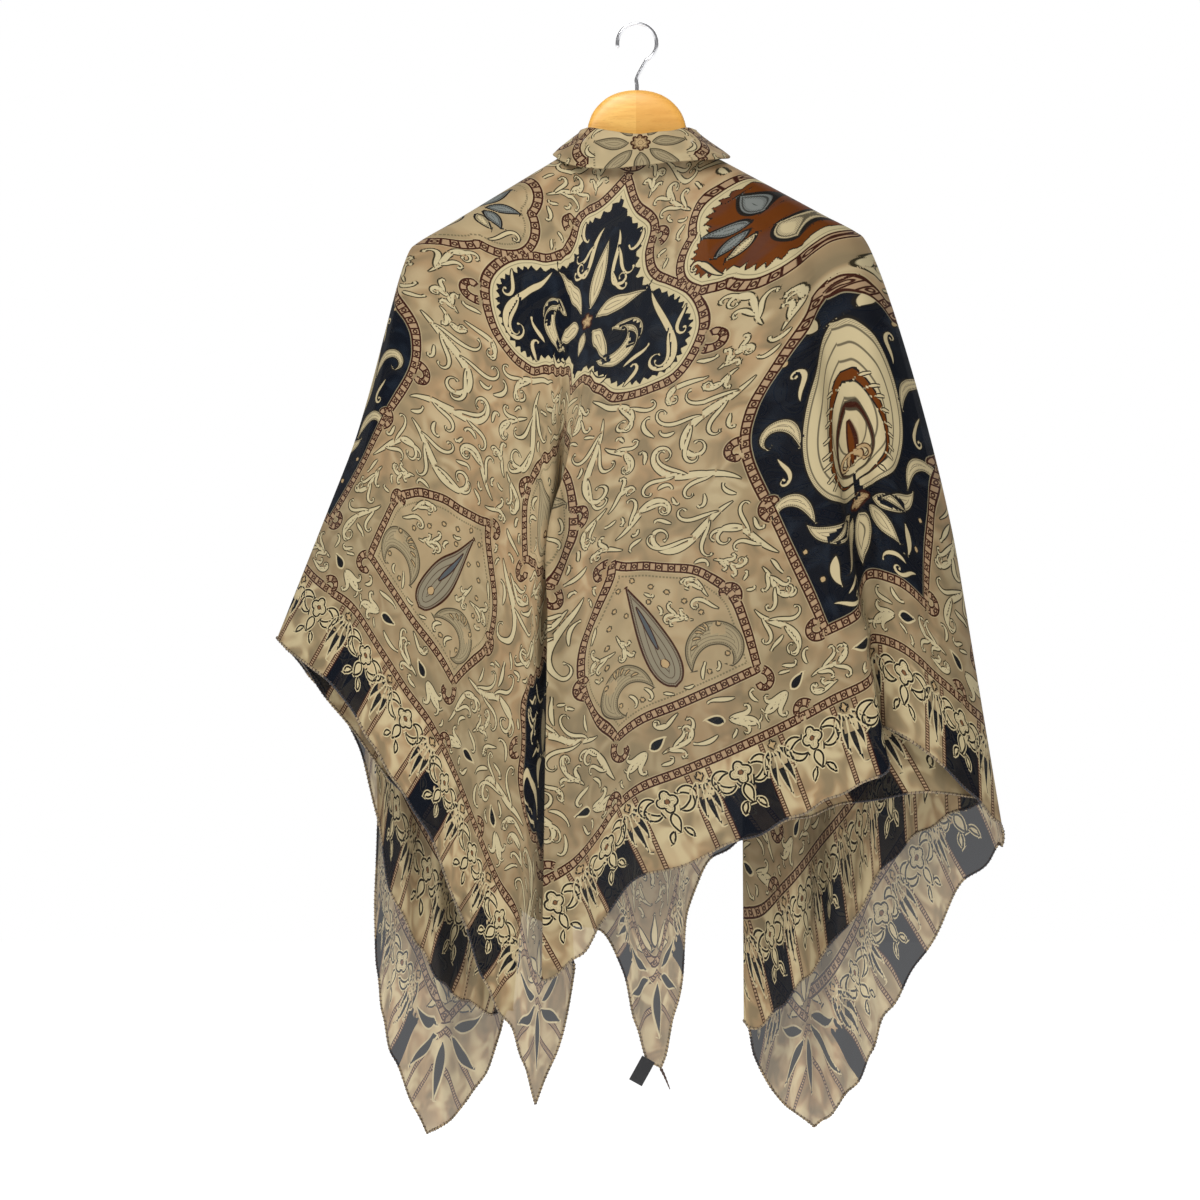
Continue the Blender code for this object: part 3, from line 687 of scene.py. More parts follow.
BORDER = 77  # from the hem to the middle of the chain
PERIOD = 77  # of the blocks along the border
WIDE = 27.5  # half the width of a wide block
CHAIN = 3.7  # half the width of a beaded band
HOOK_END, HOOK_KNOB = 2.3, 3.3  # half the width of a curled end where it stops, and its knob's radius
STYLES = {None: 0, "dark": 0.3, "plain": 0.5, "flamed": 1}


def lobed_panel():
    """Three rounded lobes round a waist, pointed towards the centre of the square."""
    top = [(0, 882), (18, 858), (44, 838), (50, 810), (66, 790), (104, 780)]
    return half_outline(top + [(130, 748), (122, 704), (86, 680), (48, 688), (20, 694), (0, 680)])


ARCH_AT = (214, 134)  # of an arch, along the side and in from the hem

# The curled ends of a side and of a corner, which spring from the panels and from the chain: where each
# starts, which way, its length and how far it turns.
SIDE_HOOKS = (
    ((289, 134), 118, 42, 250),
    ((139, 134), -118, 36, -250),
    ((294, 196), 56, 36, -240),
    ((134, 196), -56, 32, 240),
    ((214, 284), 24, 26, 230),
    ((68, 134), 112, 34, -250),
    ((73, 246), 62, 36, -250),
    ((68, 322), 48, 34, 240),
    ((104, 80), 24, 34, 240),
    ((330, 80), -20, 34, -240),
    ((404, 80), 22, 36, 250),
)
CORNER_HOOKS = (
    ((73, 502), 115, 36, 250),
    ((76, 560), 60, 34, -240),
    ((64, 330), 78, 34, 250),
    ((0, 230), 160, 26, 250),
    ((132, 730), 110, 36, -250),
    ((52, 818), 70, 28, -240),
)


def hook_line(at, way, length, turn):
    """A curled end that starts just clear of the outline it springs from."""
    points = placed(curl(length, turn, 1.5), at, way)
    return points[lengths(points) > CHAIN + 0.6]


def print_hooks():
    """The curled ends and their mirror images."""
    made = []
    for frame_map, rows in ((from_side, SIDE_HOOKS), (from_corner, CORNER_HOOKS)):
        right = [hook_line(*row) for row in rows]
        for points in right + [mirrored(line) for line in right]:
            made += quarter_turns(frame_map(points))
    return made


def on_frame(frame_map, figures, turns=(0, 1, 2, 3)):
    """Figures of a side's or a corner's frame, on the square."""
    made = []
    for figure in figures:
        for points in quarter_turns(frame_map(figure.points), turns):
            made.append(figure._replace(points=points))
    return made


def print_bands():
    """The beaded bands: the square chain inside the border and the outlines of the panels."""
    inside = HALF / MM - BORDER
    chain = np.array(((inside, -inside), (inside, inside), (-inside, inside), (-inside, -inside)))
    x, y = ARCH_AT
    sides = [Band(placed(arch(150, 148), at), "pale", "plain") for at in ((-x, y), (x, y))]
    sides.append(Band(placed(arch(138, 262, 0.66), (0, 134)), "navy", "dark"))
    corners = [
        Band(placed(ogee(124, 186), (0, 238)), "navy", "dark"),
        Band(placed(arch(142, 142, 0.42), (0, 502)), "pale", "plain"),
        Band(lobed_panel(), "navy", "flamed"),
    ]
    bands = [Band(chain, None, None)] + on_frame(from_side, sides) + on_frame(from_corner, corners)
    flower = placed(ring(46, 4, 0.12, 1.05), (0, 490))
    for k in range(4):
        fill, style = ("rust", "flamed") if k % 2 == 0 else ("pale", "plain")
        bands += on_frame(from_side, [Band(flower, fill, style)], (k,))
    # The ring at the middle of the square lies on the collar. Its cream fill is print colour, lighter than
    # the other plain panels, and is partly a painted highlight on the collar.
    bands.append(Band(ring(58, 8, 0.1), "cream", "plain"))
    return bands


def motif(outline, at, turn=0.0, echo=0.0, fill="cream", line="ink"):
    return Motif(placed(outline, at, turn), fill, line, echo)


def spray(at, turn, petals, length, width, spread, echo, hollow, fill="cream", line="ink"):
    """Petals that fan out from a place, the middle one longest, clear of each other."""
    made = []
    for k in range(petals):
        off = (k - (petals - 1) / 2) / max(1, (petals - 1) / 2)
        size = length * (1 - 0.30 * abs(off))
        outline = placed(leaf(size, width, off * 30) + (0, hollow), turn=off * spread)
        made.append(motif(outline, at, turn, echo, fill, line))
    return made


def shifted(figures, at):
    return [figure._replace(points=placed(figure.points, at)) for figure in figures]


def both_sides(figures):
    """Figures and their mirror images."""
    return figures + [figure._replace(points=mirrored(figure.points)) for figure in figures]


def side_panel_motifs():
    """What fills the tall dark panel in the middle of a side: a drop over a fan of petals, between
    curled leaves."""
    made = [motif(leaf(158, 78, 0, 2, 0.36), (0, 208), echo=7.0)]
    made += spray((0, 202), 180, 5, 48, 15, 82, 3.4, 9)
    right = [
        motif(leaf(66, 11, 250, 2.2, 0.45), (46, 222), 2, 3.2),
        motif(leaf(62, 10, 250, 2.0, 0.45), (37, 288), -8, 3.0),
        motif(leaf(46, 14, -70, 1.4, 0.45), (18, 202), 84, 3.4),
        motif(leaf(30, 9, 60, 1.4), (40, 190), 150),
        motif(leaf(20, 8, -60, 1.4), (5, 368), 30),
        motif(ring(3.0), (56, 176), fill="sand"),
        motif(ring(2.4), (62, 205), fill="sand"),
        motif(ring(2.4), (26, 362), fill="sand"),
    ]
    made.append(motif(ring(5.5, 4, 0.2), (0, 203), 0, 2.5, "sand", "brown"))
    return made + both_sides(right)


def side_panel_strokes():
    """What is drawn on the drop of the tall panel: a smaller rust drop, a ring of tongues and a vine."""
    drop, heart = leaf(96, 44, 0, 2, 0.34), leaf(62, 24, 0, 2, 0.34)
    outline = np.vstack([drop, drop[:1]])
    made = [
        Stroke(placed(outline, (0, 220)), 2.4, "rust", "ink", 0),
        Stroke(placed(np.vstack([heart, heart[:1]]), (0, 228)), 1.4, "brown", "ink_soft", 0),
    ]
    for share in np.arange(0.06, 0.47, 0.05):
        spot, way = heading_at(outline, int(share * len(outline)))
        tongue = placed(curl(7.5, 20, 1.0, 8), spot, way + 90) + (0, 220)
        made += both_sides([Stroke(tongue, 1.6, "cream", "ink", 1.2)])
    made += both_sides([Stroke(placed(curl(34, -320, 1.3), (2, 236), 20), 1.8, "sand", "brown", 1.8)])
    made.append(Stroke(placed(curl(40, 0), (0, 236)), 1.6, "rust", "brown", 0))
    return made


def heading_at(line, k):
    """Point k of a line, and which way the line goes there, in degrees."""
    spot, nose = line[k], line[k + 1]
    return spot, math.degrees(math.atan2(nose[0] - spot[0], nose[1] - spot[1]))


def arch_motifs():
    """The upright drop of a pale arch, between two feathery curls and small rings."""
    right = [motif(leaf(92, 21, 235, 1.35, 0.5), (19, 22), 14, 3.0, "greyish", "ink_soft")]
    for at in ((12, 96), (20, 108), (31, 98), (41, 84), (50, 68), (8, 122), (34, 16), (56, 24), (60, 52)):
        right.append(motif(ring(2.0), at, 0, 0, "sand", "ink_soft"))
    return [motif(leaf(104, 30, 0, 2, 0.27), (0, 16), 0, 5.0, "grey", "brown")] + both_sides(right)


def arch_strokes():
    made = [Stroke(placed(curl(9, 0, 1, 6), (0, 34)), 4.0, "sand", "brown", 3)]
    made.append(Stroke(placed(curl(46, 0, 1, 12), (0, 52)), 2.2, "navy_soft", "brown", 0))
    right = []
    for step in range(5):
        at = (26 + step * 5.2, 40 + step * 9 - step * step * 1.1)
        right.append(Stroke(placed(curl(9, 60, 1, 8), at, 50 + step * 22), 1.2, "sand", "ink_soft", 0))
    return made + both_sides(right)


def corner_motifs():
    """Along a corner's diagonal: leaves at the corner, a pair of spirals on the dark panel, two
    bent drops on the pale arch and a fan of petals on the lobed panel."""
    made = spray((0, 98), 180, 5, 58, 11, 104, 0, 9, "dark", "cream")
    made += spray((0, 118), 0, 5, 34, 9, 80, 0, 6)
    made.append(motif(leaf(46, 11), (0, 374), 180, 3))
    made.append(motif(leaf(62, 20, 0, 2, 0.3), (0, 548), 0, 4, "grey", "brown"))
    made += spray((0, 746), 0, 5, 66, 17, 118, 4.2, 13)
    made.append(motif(ring(6, 5, 0.2), (0, 748), 0, 3, "sand", "brown"))
    made.append(motif(leaf(24, 11), (0, 738), 180, 3))
    right = [
        motif(leaf(112, 10, 320, 1.8, 0.45), (12, 268), 8),
        motif(leaf(44, 9, -120, 1.5, 0.45), (10, 300), 20),
        motif(leaf(78, 34, 95, 4.0, 0.33), (30, 516), 10, 4.2, "greyish", "ink_soft"),
        motif(leaf(66, 15, -190, 1.5, 0.45), (34, 712), 96, 3.2),
        motif(leaf(46, 12, 150, 1.5, 0.45), (40, 742), 58, 3.0),
        motif(leaf(30, 9, -120, 1.5, 0.45), (30, 702), 140),
        motif(ring(3), (30, 536), 0, 0, "sand", "brown"),
    ]
    return made + both_sides(right)


def middle_motifs():
    """The flower at the centre of the square."""
    petals = [motif(leaf(34, 12) + (0, 12), (0, 0), k * 45, 3, "greyish", "ink_soft") for k in range(8)]
    return petals + [Motif(ring(8, 8, 0.15), "sand", "brown", 3)]


BLOCKS = range(-int(HALF / MM / PERIOD), int(HALF / MM / PERIOD) + 1)  # numbers of the border's blocks
BLOCK_LEAVES = ((-34, 24, -30, 63), (-17, 34, -24, 61), (34, 24, 30, 63), (17, 34, 24, 61), (0, 44, 8, 60))
PENDANT_LEAVES = ((26, 7, 150, (11, 60), 64), (22, 6, -130, (9, 46), 112), (12, 5, 40, (5, 30), 130))
NARROW_REACH, WIDE_REACH = HALF / MM - 92, HALF / MM - 100  # from the middle of a side to its last blocks


def border_motifs():
    """The repeat of the border: dark leaves in each narrow block and a cusped pendant in each wide one."""
    made = []
    for k in BLOCKS:
        x = k * PERIOD
        if abs(x) < NARROW_REACH:
            for turn, size, bend, top in BLOCK_LEAVES:
                at = (x + turn * 0.16, top)
                made.append(motif(leaf(size, 7, bend), at, 180 - turn, 0, "dark", "cream"))
            made.append(motif(ring(3.4, 4, 0.2), (x, 67), fill="sand"))
        x += PERIOD / 2
        if abs(x) < WIDE_REACH:
            made.append(motif(ring(8.5, 4, 0.22), (x, 56), 0, 3.5, line="ink_bold"))
            made.append(motif(leaf(17, 9), (x, 45), 180, line="ink_bold"))
            for side in (-1, 1):
                for length, width, bend, at, way in PENDANT_LEAVES:
                    points = placed(leaf(length, width, bend, 1.3, 0.5), at, way) * (side, 1)
                    made.append(Motif(points + (x, 0), "cream", "ink_bold", 0))
    return made


def border_strokes():
    """The brown heart of each pendant."""
    middles = [x for x in ((k + 0.5) * PERIOD for k in BLOCKS) if abs(x) < WIDE_REACH]
    return [Stroke(placed(curl(5, 0, 1, 6), (x, 53.5)), 2.6, "brownish", "ink", 2.2) for x in middles]


VINE_DROPS = ((34, 70), (118, -64), (186, 66), (262, -68), (346, 62), (430, -60))  # places and ways


def vine_motifs():
    """Small dark drops of the vine between the chain and the panels."""
    drop = leaf(19, 9, 0, 2, 0.35)
    return both_sides([motif(drop, (x, 104), way, 0, "dark", "cream") for x, way in VINE_DROPS])


def vine_strokes():
    """The vine's leaves, which fan out on both sides of its drops."""
    right = []
    for x, way in VINE_DROPS:
        side = 1 if way > 0 else -1
        for spread, length, bend in ((-150, 26, 120), (-185, 32, 60), (150, 26, -120), (175, 30, -60)):
            line = scroll(length * 1.15, bend * 0.3, bend * 2.1)
            right.append(Stroke(placed(line, (x - side * 4, 104), way + spread), 2.6, "light", "line", 1.3))
    return both_sides(right)


def on_arches(figures):
    """Figures of an arch, on both arches of every side."""
    x, y = ARCH_AT
    return on_frame(from_side, shifted(figures, (-x, y)) + shifted(figures, (x, y)))


def print_motifs():
    made = on_frame(from_side, side_panel_motifs() + border_motifs() + vine_motifs())
    made += on_arches(arch_motifs()) + on_frame(from_corner, corner_motifs())
    flower = spray((0, 491), 0, 5, 29, 9.5, 92, 3.2, 7, "greyblue")
    flower += spray((0, 487), 180, 3, 25, 8, 66, 3.0, 7)
    return made + on_frame(from_side, flower) + middle_motifs()


def print_strokes():
    """Everything drawn with a tapering stroke."""
    sides = side_panel_strokes() + vine_strokes() + border_strokes()
    return on_frame(from_side, sides) + on_arches(arch_strokes())


# ---- Reading the print at the cloth's points ----
CLOSED = 4000.0  # the length given to a closed curve, which has no ends
Reading = namedtuple("Reading", "along aside end share size owner near")


class Ink:
    """Curves of one kind, for looking up the nearest one. Distances are in metres."""

    STEP = 1.6  # between a curve's points, in mm
    TIGHTEST, SHARP = 0.25, 0.6  # of a bend that is followed: its greatest curvature, and what is a corner

    def __init__(self, curves, closed):
        rows = []
        for k, points in enumerate(curves):
            path = np.vstack([points, points[:1]]) if closed else points
            total = lengths(path)[-1]
            count = max(6, int(total / self.STEP))
            line = evenly(path, count + 1)
            if closed:
                line = line[:-1]
                if signed_area(line) < 0:
                    line = line[::-1]
                ahead, behind = np.roll(line, -1, axis=0), np.roll(line, 1, axis=0)
            else:
                ahead = np.vstack([line[1:], line[-1:] * 2 - line[-2:-1]])
                behind = np.vstack([line[:1] * 2 - line[1:2], line[:-1]])
            tangent = unit(ahead - behind)
            step = total / count
            turn = np.cross(unit(line - behind), unit(ahead - line))
            bend = np.clip(turn / step, -self.TIGHTEST, self.TIGHTEST)
            bend[np.abs(turn) > self.SHARP] = 0
            far = np.full(len(line), CLOSED if closed else total)
            rows.append((line, tangent, np.arange(len(line)) * step, far, np.full(len(line), k), bend))
        columns = [np.concatenate(column) for column in zip(*rows)]
        places, self.tangents, along, sizes, self.owners, bends = columns
        self.places, self.along, self.sizes, self.bends = places * MM, along * MM, sizes * MM, bends / MM
        self.tree = KDTree(len(self.places))
        for i, place in enumerate(self.places):
            self.tree.insert((place[0], place[1], 0), i)
        self.tree.balance()

    def at(self, centres, corners):
        """For faces with these centres and corners: how far along the nearest curve they lie, how far
        aside, positive on its left, how far from its nearer end, their share of its length, that length,
        its number and how near it is."""
        find = self.tree.find
        found = [find((x, y, 0))[1:] for x, y in centres.tolist()]
        nearest, near = (np.array(column) for column in zip(*found))
        tangent = self.tangents[nearest][:, None]
        off = corners - self.places[nearest][:, None]
        ahead = (off * tangent).sum(-1)
        aside = tangent[..., 0] * off[..., 1] - tangent[..., 1] * off[..., 0]
        aside = aside - self.bends[nearest][:, None] * ahead**2 / 2
        along, size = self.along[nearest][:, None] + ahead, self.sizes[nearest][:, None]
        end = np.where(size >= CLOSED * MM, 1.0, np.minimum(along, size - along))
        return Reading(along, aside, end, along / size, size, self.owners[nearest], near)


def tapered(reading, body, knob):
    """Half the width of a stroke at each corner: body, or a round knob of a radius at its far end."""
    back = (1 - reading.share) * reading.size - knob
    ball = np.sqrt(np.maximum(knob**2 - back**2, 0))
    return np.maximum(body, ball)


def signed_area(points):
    x, y = points[:, 0], points[:, 1]
    return 0.5 * float(np.sum(x * np.roll(y, -1) - y * np.roll(x, -1)))


def within(points, outline):
    """Whether each point lies inside an outline."""
    x, y = points[..., 0], points[..., 1]
    odd = np.zeros(x.shape, bool)
    for (x1, y1), (x2, y2) in zip(outline, np.roll(outline, -1, axis=0)):
        if y1 == y2:
            continue
        crosses = (y1 > y) != (y2 > y)
        odd ^= crosses & (x < x1 + (y - y1) * (x2 - x1) / (y2 - y1))
    return odd


class Ground:
    """Which spots of one eighth of the square are free for the filling scrolls, in square cells."""

    CELL = 1.5  # width of a cell, in mm
    BAND_ROOM = CHAIN + 2.6  # what stays free round the middle of a band or a curled end
    MOTIF_ROOM, STROKE_ROOM = 3.4, 2.2  # and round a motif's outline and a stroke
    BEYOND = 5  # how far past the eighth's edges a figure may lie and still count

    def __init__(self, bands, hooks, motifs, strokes):
        cells = int(HALF / MM / self.CELL) + 2
        self.taken = np.zeros((cells, cells), bool)
        figures = [(band.points, True, self.BAND_ROOM, False) for band in bands]
        figures += [(hook, False, self.BAND_ROOM, False) for hook in hooks]
        figures += [(figure.points, True, self.MOTIF_ROOM, True) for figure in motifs]
        figures += [(figure.points, False, figure.half + self.STROKE_ROOM, False) for figure in strokes]
        for points, closed, room, filled in figures:
            if points.max(axis=0).min() > -self.BEYOND:
                self.mark(points, closed, room)
                if filled:
                    self.cover(points)
        a, b = self.centres()
        self.taken |= (a > HALF / MM - BORDER - 8) | (b > a + 4)

    def centres(self, low=(0, 0), high=None):
        high = self.taken.shape if high is None else high
        steps = [(np.arange(low[k], high[k]) + 0.5) * self.CELL for k in range(2)]
        return np.meshgrid(*steps, indexing="ij")

    def cover(self, outline):
        low = np.maximum(outline.min(axis=0) // self.CELL, 0).astype(int)
        high = np.minimum(outline.max(axis=0) // self.CELL + 2, len(self.taken)).astype(int)
        if (high <= low).any():
            return
        a, b = self.centres(low, high)
        self.taken[low[0] : high[0], low[1] : high[1]] |= within(np.stack([a, b], axis=-1), outline)

    def mark(self, points, closed, reach):
        path = np.vstack([points, points[:1]]) if closed else points
        line = evenly(path, max(4, int(lengths(path)[-1] / 2)))
        line = line[line.min(axis=1) > -20]
        around = np.arange(-math.ceil(reach / self.CELL), math.ceil(reach / self.CELL) + 1)
        dx, dy = np.meshgrid(around, around, indexing="ij")
        disc = (dx**2 + dy**2) * self.CELL**2 <= reach**2
        cells = np.floor(line / self.CELL).astype(int)
        every = (cells[:, None] + np.stack([dx[disc], dy[disc]], axis=-1)[None]).reshape(-1, 2)
        ok = ((every >= 0) & (every < len(self.taken))).all(axis=1)
        self.taken[every[ok, 0], every[ok, 1]] = True

    def free(self, points):
        cells = np.floor(points / self.CELL).astype(int)
        if (cells < 0).any() or (cells >= len(self.taken)).any():
            return False
        return not self.taken[cells[:, 0], cells[:, 1]].any()


GROUND_SIDE = 600  # sprigs start within this square, from the centre out, in mm
SHORTEST_ON_DARK = 22  # leaf that is drawn on a dark panel, in mm


def sprig(chance, size):
    """A winding stem from the origin and the leaves on both of its sides, as strokes' lines and halves."""
    hand = 1 if chance.random() < 0.5 else -1
    stem = scroll(size, hand * chance.uniform(20, 60), hand * chance.uniform(300, 400))
    made = [(stem, 1.2 + size / 52)]
    for share, side in ((0.10, -1), (0.16, 1), (0.34, -1), (0.42, 1)):
        spot, way = heading_at(stem, int(share * 44))
        length = size * chance.uniform(0.36, 0.52)
        points = scroll(length, side * 30, side * chance.uniform(180, 300), 30)
        made.append((placed(points, spot, way + side * 36), 1.9))
    return made


def ground_strokes(bands, hooks, motifs, drawn):
    """Sprigs and small leaves on what the panels leave free, the same in every eighth of the square."""
    chance = np.random.default_rng(11)
    ground = Ground(bands, hooks, motifs, drawn)
    dark = [band.points for band in bands if band.fill in ("navy", "rust")]
    made = []

    def keep(points, half):
        shaded = any(within(points[:1], outline)[0] for outline in dark)
        if shaded and lengths(points)[-1] < SHORTEST_ON_DARK:
            return
        fill, line = ("cream", "ink") if shaded else ("light", "line")
        made.append(Stroke(points, half, fill, line, 1.5))
        ground.mark(points, False, half + 2.0)

    def anywhere():
        return chance.uniform((0, 0), (GROUND_SIDE, GROUND_SIDE)), chance.uniform(0, 360)

    for size, tries in ((118, 600), (84, 1100), (58, 1700), (40, 2400)):
        for _ in range(tries):
            at, way = anywhere()
            lines = [(placed(points, at, way), half) for points, half in sprig(chance, size)]
            if at[1] > at[0] or not ground.free(lines[0][0]):
                continue
            for points, half in lines[1:]:
                if ground.free(points[10:]):
                    keep(points, half)
            keep(*lines[0])
    for length, half, tries in ((28, 2.2, 3000), (18, 1.9, 3500), (11, 1.6, 3000)):
        for _ in range(tries):
            at, way = anywhere()
            points = placed(scroll(length, 20, chance.uniform(-240, 240), 14), at, way)
            if at[1] <= at[0] and ground.free(points):
                keep(points, half)
    every = []
    for stroke in made:
        every += on_frame(np.array, [stroke, stroke._replace(points=stroke.points[:, ::-1])])
    return every


@functools.lru_cache(maxsize=1)
def printed():
    """The figures of the print and their curves, ready to be looked up."""
    bands, hooks, motifs, strokes = print_bands(), print_hooks(), print_motifs(), print_strokes()
    strokes += ground_strokes(bands, hooks, motifs, strokes)
    inks = [
        Ink([b.points for b in bands], True),
        Ink(hooks, False),
        Ink([m.points for m in motifs], True),
        Ink([s.points for s in strokes], False),
    ]
    return bands, motifs, strokes, inks


def srgb(red, green, blue):
    """A colour from its values out of 255."""
    shares = (value / 255 for value in (red, green, blue))
    return tuple(share / 12.92 if share <= 0.04045 else ((share + 0.055) / 1.055) ** 2.4 for share in shares)


INKS = {
    "pale": srgb(168, 149, 114),
    "navy": srgb(15, 19, 27),
    "navy_soft": srgb(78, 84, 86),
    "rust": srgb(98, 50, 14),
    "cream": srgb(190, 174, 136),
    "sand": srgb(172, 146, 106),
    "grey": srgb(130, 122, 102),
    "greyish": srgb(150, 136, 106),
    "greyblue": srgb(118, 122, 118),
    "brownish": srgb(112, 78, 52),
    "dark": srgb(24, 26, 29),
    "light": srgb(188, 174, 138),
    "ink": srgb(30, 28, 26),
    "ink_bold": srgb(22, 20, 18),
    "ink_soft": srgb(70, 62, 48),
    "line": srgb(48, 43, 30),
    "brown": srgb(58, 27, 17),
}
LINE_WIDTHS = {"ink_bold": 0.95, "cream": 0.8, "brown": 0.9, "ink": 0.75, "ink_soft": 0.65}
BOLD = 0.92  # lines wider than this have a pale halo


def print_attributes(corners):
    """What the print's material reads at each corner of some faces, by attribute name. corners are the
    corners' places on the flat square."""
    centres = corners.mean(axis=1)
    bands, motifs, strokes, (band_ink, hook_ink, motif_ink, stroke_ink) = printed()

    def of(figures, owner, value):
        return np.array([value(figure) for figure in figures])[owner]

    field, hook = band_ink.at(centres, corners), hook_ink.at(centres, corners)
    at_hook = (hook.near < field.near)[:, None]
    hook_body = tapered(hook, mix(CHAIN, HOOK_END, np.clip(hook.share, 0, 1)) * MM, HOOK_KNOB * MM)
    nearer = [np.where(at_hook, getattr(hook, key), getattr(field, key)) for key in ("along", "aside", "end")]
    body = np.where(at_hook, hook_body, CHAIN * MM)
    made = {
        "band": np.stack(nearer, axis=-1),
        "field": np.stack([field.along, field.aside, body], axis=-1),
        "panel": spread(of(bands, field.owner, lambda b: (*INKS[b.fill or "pale"], STYLES[b.style]))),
    }
    found = motif_ink.at(centres, corners)
    echo = of(motifs, found.owner, lambda m: m.echo) * MM
    made["motif"] = np.stack([found.along, found.aside, spread(echo)], axis=-1)
    made["motif_fill"] = spread(of(motifs, found.owner, lambda m: (*INKS[m.fill], 1)))
    made["motif_line"] = spread(of(motifs, found.owner, lambda m: (*INKS[m.line], LINE_WIDTHS[m.line])))
    found = stroke_ink.at(centres, corners)
    half = of(strokes, found.owner, lambda s: s.half)[:, None] * MM
    knob = of(strokes, found.owner, lambda s: s.knob)[:, None] * MM
    belly = np.sin(math.pi * np.clip(found.share, 0, 1) ** 0.8) ** 0.75
    made["stroke"] = np.stack([found.aside, found.end, tapered(found, half * belly, knob)], axis=-1)
    made["stroke_fill"] = spread(of(strokes, found.owner, lambda s: (*INKS[s.fill], 1)))
    made["stroke_line"] = spread(of(strokes, found.owner, lambda s: (*INKS[s.line], 1)))
    made["border"] = border_coordinates(centres, corners)
    return made


def spread(values):
    """One value for each face, as the same value at its four corners."""
    return np.repeat(values[:, None], 4, axis=1)


def border_coordinates(centres, corners):
    """Distance along and in from the nearest hem, at each corner."""
    across = np.abs(centres[:, 0]) > np.abs(centres[:, 1])
    sign = np.where(across, np.sign(centres[:, 0]), np.sign(centres[:, 1]))[:, None]
    out = np.where(across[:, None], corners[..., 0], corners[..., 1]) * sign
    beside = np.where(across[:, None], corners[..., 1], corners[..., 0])
    return np.stack([beside, HALF - out, np.zeros_like(out)], axis=-1)


# ---- Materials ----
class Wire:
    """A number or a vector in a material's node tree. Arithmetic on a number adds Math nodes."""

    def __init__(self, tree, socket):
        self.tree = tree
        self.socket = socket

    def math(self, operation, *others, clamp=False):
        node = self.tree.nodes.new("ShaderNodeMath")
        node.operation = operation
        node.use_clamp = clamp
        for slot, value in zip(node.inputs, (self, *others)):
            set_or_link(self.tree, slot, value)
        return Wire(self.tree, node.outputs[0])

    def __add__(self, other):
        return self.math("ADD", other)

    def __sub__(self, other):
        return self.math("SUBTRACT", other)

    def __mul__(self, other):
        return self.math("MULTIPLY", other)

    def __truediv__(self, other):
        return self.math("DIVIDE", other)

    def __abs__(self):
        return self.math("ABSOLUTE")

    def ramp(self, low, high):
        """0 up to low, 1 from high on and a straight line between them."""
        return self.math("MULTIPLY_ADD", 1 / (high - low), -low / (high - low), clamp=True)

    def above(self, level, blur=0.4 * MM):
        """1 where this is above the level, with a soft edge."""
        if isinstance(level, Wire):
            return (self - level).above(0.0, blur)
        return self.ramp(level - blur / 2, level + blur / 2)

    def below(self, level, blur=0.4 * MM):
        if isinstance(level, Wire):
            return (self - level).below(0.0, blur)
        return self.ramp(level + blur / 2, level - blur / 2)

    def wave(self, period):
        """A triangle wave from 0 to half the period."""
        return self.math("PINGPONG", period / 2)


class Paint:
    """A colour in a material's node tree, over which others can be laid."""

    def __init__(self, tree, socket):
        self.tree = tree
        self.socket = socket

    def coat(self, share, colour):
        """Lays another colour over this one, as much as share says."""
        self.socket = blend(self.tree, share, self, colour).socket


def blend(tree, share, below, above):
    """A colour between two others, nearer the second one the greater share is."""
    node = tree.nodes.new("ShaderNodeMix")
    node.data_type = "RGBA"
    for slot, value in ((0, share), (6, below), (7, above)):
        set_or_link(tree, node.inputs[slot], value)
    return Paint(tree, node.outputs[2])


def set_or_link(tree, slot, value):
    """Gives a socket a number, a colour, a vector or what another node makes."""
    value = getattr(value, "socket", value)
    if isinstance(value, bpy.types.NodeSocket):
        tree.links.new(value, slot)
    elif slot.type == "RGBA":
        slot.default_value = (*value[:3], 1)
    else:
        slot.default_value = value


def give(tree, node, **inputs):
    """Sets or links a node's inputs, _ for a space in their names."""
    for name, value in inputs.items():
        set_or_link(tree, node.inputs[name.replace("_", " ")], value)


class Look:
    """A material on one shader, and the nodes that the pieces' looks are built with."""

    def __init__(self, name, **inputs):
        self.material = bpy.data.materials.new(name)
        self.material.use_nodes = True
        self.tree = self.material.node_tree
        self.shade(**inputs)

    def shade(self, **inputs):
        """Sets or links the shader's inputs."""
        give(self.tree, self.tree.nodes["Principled BSDF"], **inputs)

    def node(self, kind, out=0, **inputs):
        """One output of a new node."""
        node = self.tree.nodes.new(kind)
        give(self.tree, node, **inputs)
        return Wire(self.tree, node.outputs[out])

    def place(self, scale=None):
        """The object's own coordinates, times three numbers where scale is given."""
        place = self.node("ShaderNodeTexCoord", "Object")
        return place if scale is None else self.node("ShaderNodeMapping", Vector=place, Scale=scale)

    def noise(self, place, scale, detail=2.0, roughness=0.5, distortion=0.0):
        inputs = {"Scale": scale, "Detail": detail, "Roughness": roughness, "Distortion": distortion}
        return self.node("ShaderNodeTexNoise", Vector=place, **inputs)

    def blend(self, share, below, above):
        return blend(self.tree, share, below, above)

    def bump(self, height, strength, distance):
        self.shade(Normal=self.node("ShaderNodeBump", Height=height, Strength=strength, Distance=distance))

    def split(self, vector):
        """The three numbers of a vector."""
        parts = self.tree.nodes.new("ShaderNodeSeparateXYZ")
        self.tree.links.new(vector.socket, parts.inputs[0])
        return [Wire(self.tree, socket) for socket in parts.outputs]

    def attribute(self, name):
        """The three numbers, the colour and the fourth number of an attribute of the mesh."""
        node = self.tree.nodes.new("ShaderNodeAttribute")
        node.attribute_name = name
        numbers = self.split(Wire(self.tree, node.outputs["Vector"]))
        return numbers, Paint(self.tree, node.outputs["Color"]), Wire(self.tree, node.outputs["Alpha"])


